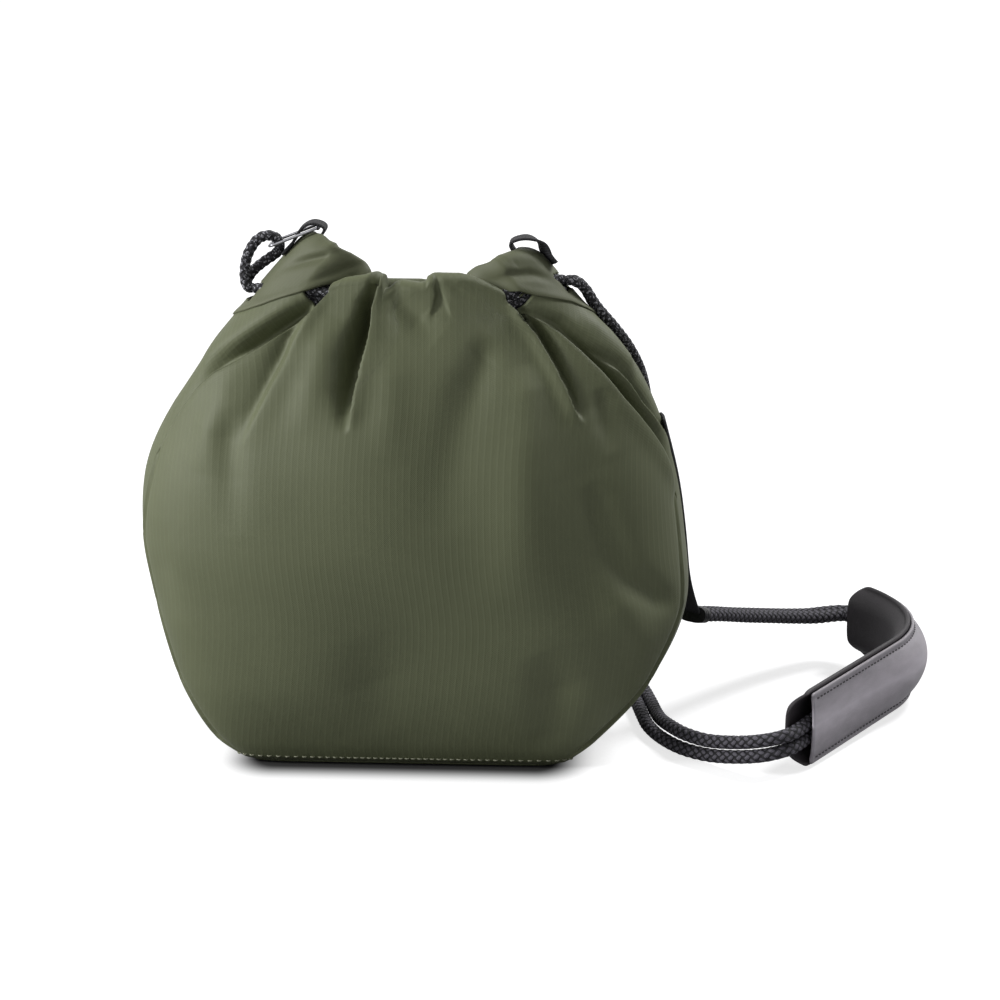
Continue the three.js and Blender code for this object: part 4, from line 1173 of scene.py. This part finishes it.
webbing = 1.4
tab_width = 12
side_width = 16
lap = 0.35


def webbing_finish():
    tape = Finish("black_webbing", roughness=0.7, specular_ior_level=0.3)
    across, along = tape.weave_uv()
    rows = tape.wave(along, 1.3) * 0.5 + 0.5
    cross = tape.wave(across + (rows > 0.5) * 0.5, 1.0) * 0.5 + 0.5
    weave = rows * 0.6 + cross * 0.4
    colour = tape.mix(weave, paint(9, 9, 10), paint(42, 42, 45))
    return tape.finish(colour, roughness=weave * 0.15 + 0.6, height=weave, depth=0.0003)


black_tape = webbing_finish()


def make_tape(name, line, across, width, node, hug=0.0):
    """A tape with rounded edges along a line; across gives the direction of its width, and hug how
    far its edges bend off the flat"""
    heading = unit(np.gradient(line, axis=0))
    side = unit(across - (across * heading).sum(axis=1, keepdims=True) * heading)
    face = np.cross(heading, side)
    share = np.sin(np.linspace(-np.pi / 2, np.pi / 2, 15))
    to_edge = np.clip((np.abs(share) - 0.93) / 0.07, 0, 1)
    half = webbing / 2 * np.sqrt(np.maximum(0.05, 1 - to_edge ** 2))
    width = np.broadcast_to(width, len(line))[:, None]
    hug = np.broadcast_to(hug, line.shape)[:, None]
    offset = (share * width / 2)[..., None] * side[:, None] + share[None, :, None] ** 2 * hug
    outer = line[:, None] + offset + half[None, :, None] * face[:, None]
    inner = line[:, None] + offset - half[None, :, None] * face[:, None]
    gone = gone_along(line)
    uv = np.stack(np.broadcast_arrays(share * width / 2, gone[:, None]), axis=-1)
    flip = slice(None, None, -1)
    made = thick_sheet(name, outer[:, flip], inner[:, flip], uv[:, flip], black_tape, "webbing")
    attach(made, "pouch")
    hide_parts(node)


ring_lift = 2.5
ring_stock = 1.4
loop_heights = {"left": ring_lift + ring_stock / 2 + 0.5 + webbing / 2, "right": 4.8}
for hand, angle, rise, outer_leg, turned in (("left", 270, 21, 11, 0), ("right", 90, 14, 8, -0.55)):
    tip = mouth_line(angle) + rise
    height = loop_heights[hand]
    leg = 9 * math.sqrt(0.5)
    outside, inside = -(lap + webbing / 2), crown_depth[hand] + lap + webbing / 2
    route = wall(
        angle, [tip - outer_leg, tip - outer_leg / 2, tip, tip, tip, tip - leg / 2, tip - leg],
        [outside, outside, outside, crown_depth[hand] / 2, inside, inside, inside])
    route[2:5, 2] += np.array([0.45, 1, 0.45]) * height
    line = smooth_line(route, 0.8)
    twist = turned * smoothstep(0.6, 0.2, np.linspace(0, 1, len(line)))
    across = np.stack([twist, 1 + 0 * twist, 0 * twist], axis=1)
    make_tape(hand + "_loop", line, across, tab_width, hand + "_tab")


def sewn_spot(angle, z, width=side_width, pressed=0.5):
    """A spot of a tape on the gusset, the direction across it, its width, and how it hugs the wall;
    pressed is how far the stitching pulls it into the cloth"""
    per_degree = float(run_of(angle + 0.5, z) - run_of(angle - 0.5, z))
    reach = width / 2 / per_degree
    out = pressed - lap - webbing / 2
    middle, left, right = (wall(angle + step, z, out) for step in (0, -reach, reach))
    return [*shell(angle, z, out), *unit(right - left), width, *((left + right) / 2 - middle)]


right_sewn = [
    sewn_spot(95, z, pressed=np.interp(z, [104, 112, 150, 166], [1.2, 1.5, 1.3, 0.1]))
    for z in np.linspace(166, 104, 9)]
right_sewn += [
    sewn_spot(97.5, 96, 15.6, 1.2), sewn_spot(100.5, 88, 15, 0.8), sewn_spot(103.5, 78, 12.6)]
left_sewn = [
    sewn_spot(a - 360, z) for z, a in zip(np.linspace(166, 106, 9), np.linspace(256, 250, 9))]
left_sewn += [sewn_spot(-112.5, 95, 15.6), sewn_spot(-115, 84, 15)]
for hand, sewn, free in (
    ("right", right_sewn,
     [[136.7, 20.3, 66.5, -0.6, 0.8, 0, 9.6], [138, 25.2, 58.6, -0.83, 0.56, 0, 8.4],
      [139.3, 28.4, 56.3, -0.83, 0.56, 0, 8.4]]),
    ("left", left_sewn,
     [[-128.8, 38, 71, -0.12, -1, 0, 13], [-125.4, 42.7, 60.9, 0, -1, 0, 10],
      [-124.6, 44.6, 55.5, 0, -1, 0, 9.4]]),
):
    spots = np.array(sewn + [[*row, 0, 0, 0] for row in free])
    for _ in range(3):
        spots[1:-1] = (spots[:-2] + 2 * spots[1:-1] + spots[2:]) / 4
    spots = smooth_line(spots, 1.2)
    make_tape(
        hand + "_side_tape", spots[:, :3], spots[:, 3:6], spots[:, 6], hand + "_side_webbing", spots[:, 7:])


# Ring: a bright steel wire bent to a rectangle, with a barrel on the bar that turns in the left
# loop. The left pull hangs on its other bar.

ring_length = 25.6
ring_inside = 13
ring_droop = math.radians(21.4)
hinge = Vector(frame["joints"][0]["pos_m"])
steel = Finish("dark_steel", metallic=1.0, roughness=0.28)
brushed = steel.cloud(240.0, 3.0, (1, 1, 6))
steel.finish(
    steel.mix(brushed, paint(104, 104, 108), paint(168, 168, 172)), roughness=brushed * 0.2 + 0.2,
    height=brushed, depth=0.00004)
ring_corner = 3
barrel_half = 5.2
barrel_diameter = 2.6
x_half, y_half = ring_length / 2, (ring_inside + ring_stock) / 2
outline = []
for cx, cy, start in ((1, 1, 0), (-1, 1, 90), (-1, -1, 180), (1, -1, 270)):
    for step in range(7):
        a = math.radians(start + 15 * step)
        x = cx * (x_half - ring_corner) + ring_corner * math.cos(a) - x_half
        outline.append((x, cy * (y_half - ring_corner) + ring_corner * math.sin(a), 0))
outline.append(outline[0])
wire = spaced(np.array(outline, float), 0.8)[:-1]
heading = unit(np.roll(wire, -1, axis=0) - np.roll(wire, 1, axis=0))
side = np.cross(heading, [0, 0, 1.0])
sides = 12
spin = 2 * np.pi * np.arange(sides)[None, :, None] / sides
round_wire = np.cos(spin) * side[:, None] + np.sin(spin) * np.array([0, 0, 1.0])
points = wire[:, None] + ring_stock / 2 * round_wire
faces, places = grid_faces(len(wire), sides, wrap_rows=True, wrap_columns=True)
uv = np.stack(np.meshgrid(np.arange(sides + 1) / sides, np.arange(len(wire) + 1) * 0.8), axis=-1)
turned = np.array(Matrix.Rotation(ring_droop, 3, "Y").inverted())
points = points.reshape(-1, 3) @ turned.T + np.array(hinge) * 1000
ring = make_piece(
    "steel_ring", points, faces.reshape(-1, 4), places.reshape(-1, 4), uv.reshape(-1, 2), steel.material)
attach(ring, "ring")
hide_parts("left_ring")
barrel_line = np.array([[0, y, 0] for y in np.linspace(-barrel_half, barrel_half, 9)])
barrel_line = barrel_line + np.array(hinge) * 1000
barrel = make_tube("ring_barrel", barrel_line, barrel_diameter, 20, steel.material)
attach(barrel, "ring")


# Inside: a foam wall behind the cloth, a thin lining with its own floor, and the sewn base panel
# under a stiff board. The lining shows in the mouth.

base_board_thickness = 2.5
layer_gap = 0.35
foam_depth = 2.35
foam_full = 3
foam_least = 0.5
lining_depth = 3.2
lining_slack = 0.6
lining_thickness = 1.0
around = np.linspace(-180, 180, 241)[:-1][None, :]


def wall_top(angle):
    return mouth_line(angle) - hem_height - layer_gap


def foam_at(z):
    """The foam is full below and fades out under the gather"""
    return foam_full * (1 - smoothstep(138, 162, z))


foam_z = rows_between(wall_foot, wall_top(around), 60, 1.0)
foam_thickness = np.maximum(foam_at(foam_z), foam_least)


def round_angle(z):
    """Angles round the bag, past 180 where the back panel is"""
    return np.where(around < seam_at(z) - 180, around + 360, around)


def behind_folds(z):
    """How much deeper a layer lies to pass behind the sharp folds of the cloth, not into them"""
    drawn_in, slip = folds(round_angle(z), z)
    deepest = drawn_in + np.abs(slip).sum(axis=-1)
    for axis, reach in ((1, 4), (0, 1)):
        deepest = np.max([np.roll(deepest, k, axis=axis) for k in range(-reach, reach + 1)], axis=0)
    for _ in range(3):
        deepest = (np.roll(deepest, 1, axis=1) + 2 * deepest + np.roll(deepest, -1, axis=1)) / 4
    return np.maximum(deepest - drawn_in, 0) * smoothstep(30, 60, z)


def inner_wall(z, depth):
    """A smooth layer behind the cloth"""
    drawn_in, _ = folds(round_angle(z), z)
    point = wall(around + 0 * z, z, depth)
    inward = drawn_in + behind_folds(z) + slack(round_angle(z), z)
    return point + inwards(around, z) * inward[..., None]


foam_layers = [inner_wall(foam_z, depth) for depth in (foam_depth, foam_depth + foam_thickness)]


def round_uv(angle, grid):
    """UV for a grid that goes all the way round"""
    climbed = climbed_on(grid)
    round_mm = np.concatenate([angle, [[180.0]]], axis=1) * 2.1 + np.zeros((len(grid), 1))
    return np.stack([round_mm, np.concatenate([climbed, climbed[:, :1]], axis=1)], axis=-1)


foam = Finish("grey_foam", roughness=0.95, specular_ior_level=0.2)
cells = foam.cloud(1800.0, 2.0)
foam.finish(foam.mix(cells, paint(38, 38, 40), paint(60, 60, 62)), height=cells, depth=0.0003)
padding = thick_sheet(
    "foam_wall", *foam_layers, round_uv(around, foam_layers[0]), foam.material, "padding",
    wrap_columns=True)
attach(padding, "pouch")
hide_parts("wall_padding")

lining_foot = wall_foot + base_board_thickness + layer_gap
lining_z = rows_between(lining_foot, wall_top(around), 90, 1.1)
behind_hem = 5.4 * smoothstep(14, 1, wall_top(around) - lining_z)
lining_in = lining_depth + foam_at(lining_z) + lining_slack + behind_hem
lining_layers = [inner_wall(lining_z, lining_in + extra) for extra in (0, lining_thickness)]
lining_cloth = nylon_finish("lining_nylon", paint(62, 63, 52), paint(82, 83, 70), 0.0)
lining = thick_sheet(
    "lining_cloth", *lining_layers, round_uv(around, lining_layers[0]), lining_cloth, "lining_cloth",
    wrap_columns=True)
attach(lining, "pouch")
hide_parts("lining")


def make_floor_sheet(name, z, depth, thickness, finish, slot):
    """A level sheet that fills the wall's outline at that height, with a rounded edge"""
    edge = wall(around[0], np.full(around.shape[1], z), depth)
    middle = np.array([station(z, 5), 0, 0])
    shares = np.array([1.0, 0.996, 0.99, 0.97, 0.9, 0.75, 0.55, 0.35, 0.15, 0.02])[:, None, None]
    flat = middle + (edge - middle)[None] * shares
    flat[..., 2] = 0
    drop = np.array([0.5, 0.2, 0.05, 0, 0, 0, 0, 0, 0, 0])[:, None] * thickness
    top, bottom = flat.copy(), flat.copy()
    top[..., 2] = z + thickness - drop
    bottom[..., 2] = z + drop * 0.98
    uv = flat[:, list(range(flat.shape[1])) + [0], :2]
    sheet = thick_sheet(name, top, bottom, uv, finish, slot, wrap_columns=True)
    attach(sheet, "pouch")
    return sheet


base = make_floor_sheet("base_cloth", 0.0, foot_roll, 1.5, olive_nylon, "shell_cloth")
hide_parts("base_panel")
make_floor_sheet("lining_floor", lining_foot, 6.9, lining_thickness, lining_cloth, "lining_cloth")

board = Finish("base_board", roughness=0.5)
board_grain = board.cloud(700.0, 3.0)
board_colour = board.mix(board_grain, paint(18, 18, 19), paint(30, 30, 32))
board.finish(board_colour, height=board_grain, depth=0.0002)
for place in bpy.data.objects["base_board"].material_slots:
    place.material = board.material


# Stitching: olive thread in one row, sewn through the front cloth just above its lower edge. Each
# stitch is a short bent stretch of thread.

olive_thread = thread_finish("olive_thread", paint(110, 112, 90), paint(172, 174, 152))
stitch_count = 46
stitch_height = 3.8
stitch_angles = np.linspace(-1, 1, stitch_count) * (seam_at(4.0) - 1.5)
stitch_z = np.full(stitch_count, stitch_height)
spots, ahead, behind = (shell(stitch_angles + step, stitch_z) for step in (0, 0.3, -0.3))
headings = unit(ahead - behind)
climb = unit(shell(stitch_angles, stitch_z + 0.6) - shell(stitch_angles, stitch_z - 0.6))
outwards = unit(np.cross(headings, climb))
make_stitches("front_foot_stitches", spots, headings, outwards, 3.0, 0.7, olive_thread)


# Floor and studio light: a white floor and wall of light all round, soft lamps at a plain level.
# Under the bag a shadow is painted into the floor's own colour and glow, which deepens the shadow that the
# lamps cast there.

bpy.ops.object.select_all(action="DESELECT")
bpy.ops.mesh.primitive_plane_add(size=60, location=(0, 0, -0.0005))
floor = bpy.context.object
floor.name = "floor"
floor_white = Finish("floor_white", roughness=0.9, specular_ior_level=0.1, emission_strength=1.0)
seen = floor_white.node("ShaderNodeLightPath", {}, {}, "Is Camera Ray")
place = floor_white.node("ShaderNodeTexCoord", {}, {}, "Object")


def floor_reach(vector):
    return floor_white.node("ShaderNodeVectorMath", {"operation": "LENGTH"}, {0: vector}, "Value")


def floor_vector(operation, first, second):
    return floor_white.node("ShaderNodeVectorMath", {"operation": operation}, {0: first, 1: second})


def floor_range(value, near, far, low, high):
    return floor_white.node("ShaderNodeMapRange", {"interpolation_type": "SMOOTHSTEP"}, {
        "Value": value, "From Min": near, "From Max": far, "To Min": low, "To Max": high})


# The painted shadow: the shift that brings its middle to 0, its half size, and where its edge fades
painted_shadow_shift = (0.0036, 0, 0)
painted_shadow_half = (0.064, 0.043, 0)
painted_shadow_edge = 0.009, 0.031
far = floor_range(floor_reach(place), 0.4, 1.6, 0.74, 1.0)
beside = floor_vector("ABSOLUTE", floor_vector("ADD", place, painted_shadow_shift), (0, 0, 0))
beside = floor_vector("MAXIMUM", floor_vector("SUBTRACT", beside, painted_shadow_half), (0, 0, 0))
outside_painted_shadow = floor_range(floor_reach(beside), *painted_shadow_edge, 0.0, 1.0)
# Painted shadow: near the bag the floor's glow goes out and its colour goes nearly black
glow = floor_white.mix(seen * far * outside_painted_shadow, (0, 0, 0, 1), (1, 1, 1, 1))
floor_white.feed(floor_white.shader.inputs["Emission Color"], glow)
floor_white.finish(floor_white.mix(outside_painted_shadow, (0.04, 0.04, 0.04, 1), (0.48, 0.48, 0.49, 1)))
floor.data.materials.append(floor_white.material)

# The world shows white to the camera and in reflections, and lights the bag only a little
world_light = 0.13
world_seen = 0.87
world = bpy.data.worlds.new("studio")
world.use_nodes = True
bpy.context.scene.world = world
sky = Nodes(world.node_tree)
shown = sky.math("MAXIMUM", *(
    sky.node("ShaderNodeLightPath", {}, {}, ray) for ray in ("Is Camera Ray", "Is Glossy Ray")))
light = sky.tree.nodes["Background"]
light.inputs["Color"].default_value = (1, 1, 1, 1)
sky.feed(light.inputs["Strength"], sky.math("MULTIPLY_ADD", shown, world_seen, world_light))


def add_lamp(name, place, power, size):
    lamp = bpy.data.lights.new(name, "AREA")
    lamp.energy = power
    lamp.shape = "RECTANGLE"
    lamp.size, lamp.size_y = size
    holder = bpy.data.objects.new(name, lamp)
    holder.location = place
    from_bag = Vector(place) - Vector((0, 0, 0.12))
    holder.rotation_euler = from_bag.to_track_quat("Z", "Y").to_euler()
    bpy.context.scene.collection.objects.link(holder)


add_lamp("key", (-1.6, -0.5, 0.95), 33, (0.5, 0.5))
add_lamp("front", (-0.7, -1.5, 0.9), 2.5, (0.6, 0.6))
add_lamp("right_rim", (1.0, 0.6, 1.5), 22, (0.4, 0.4))
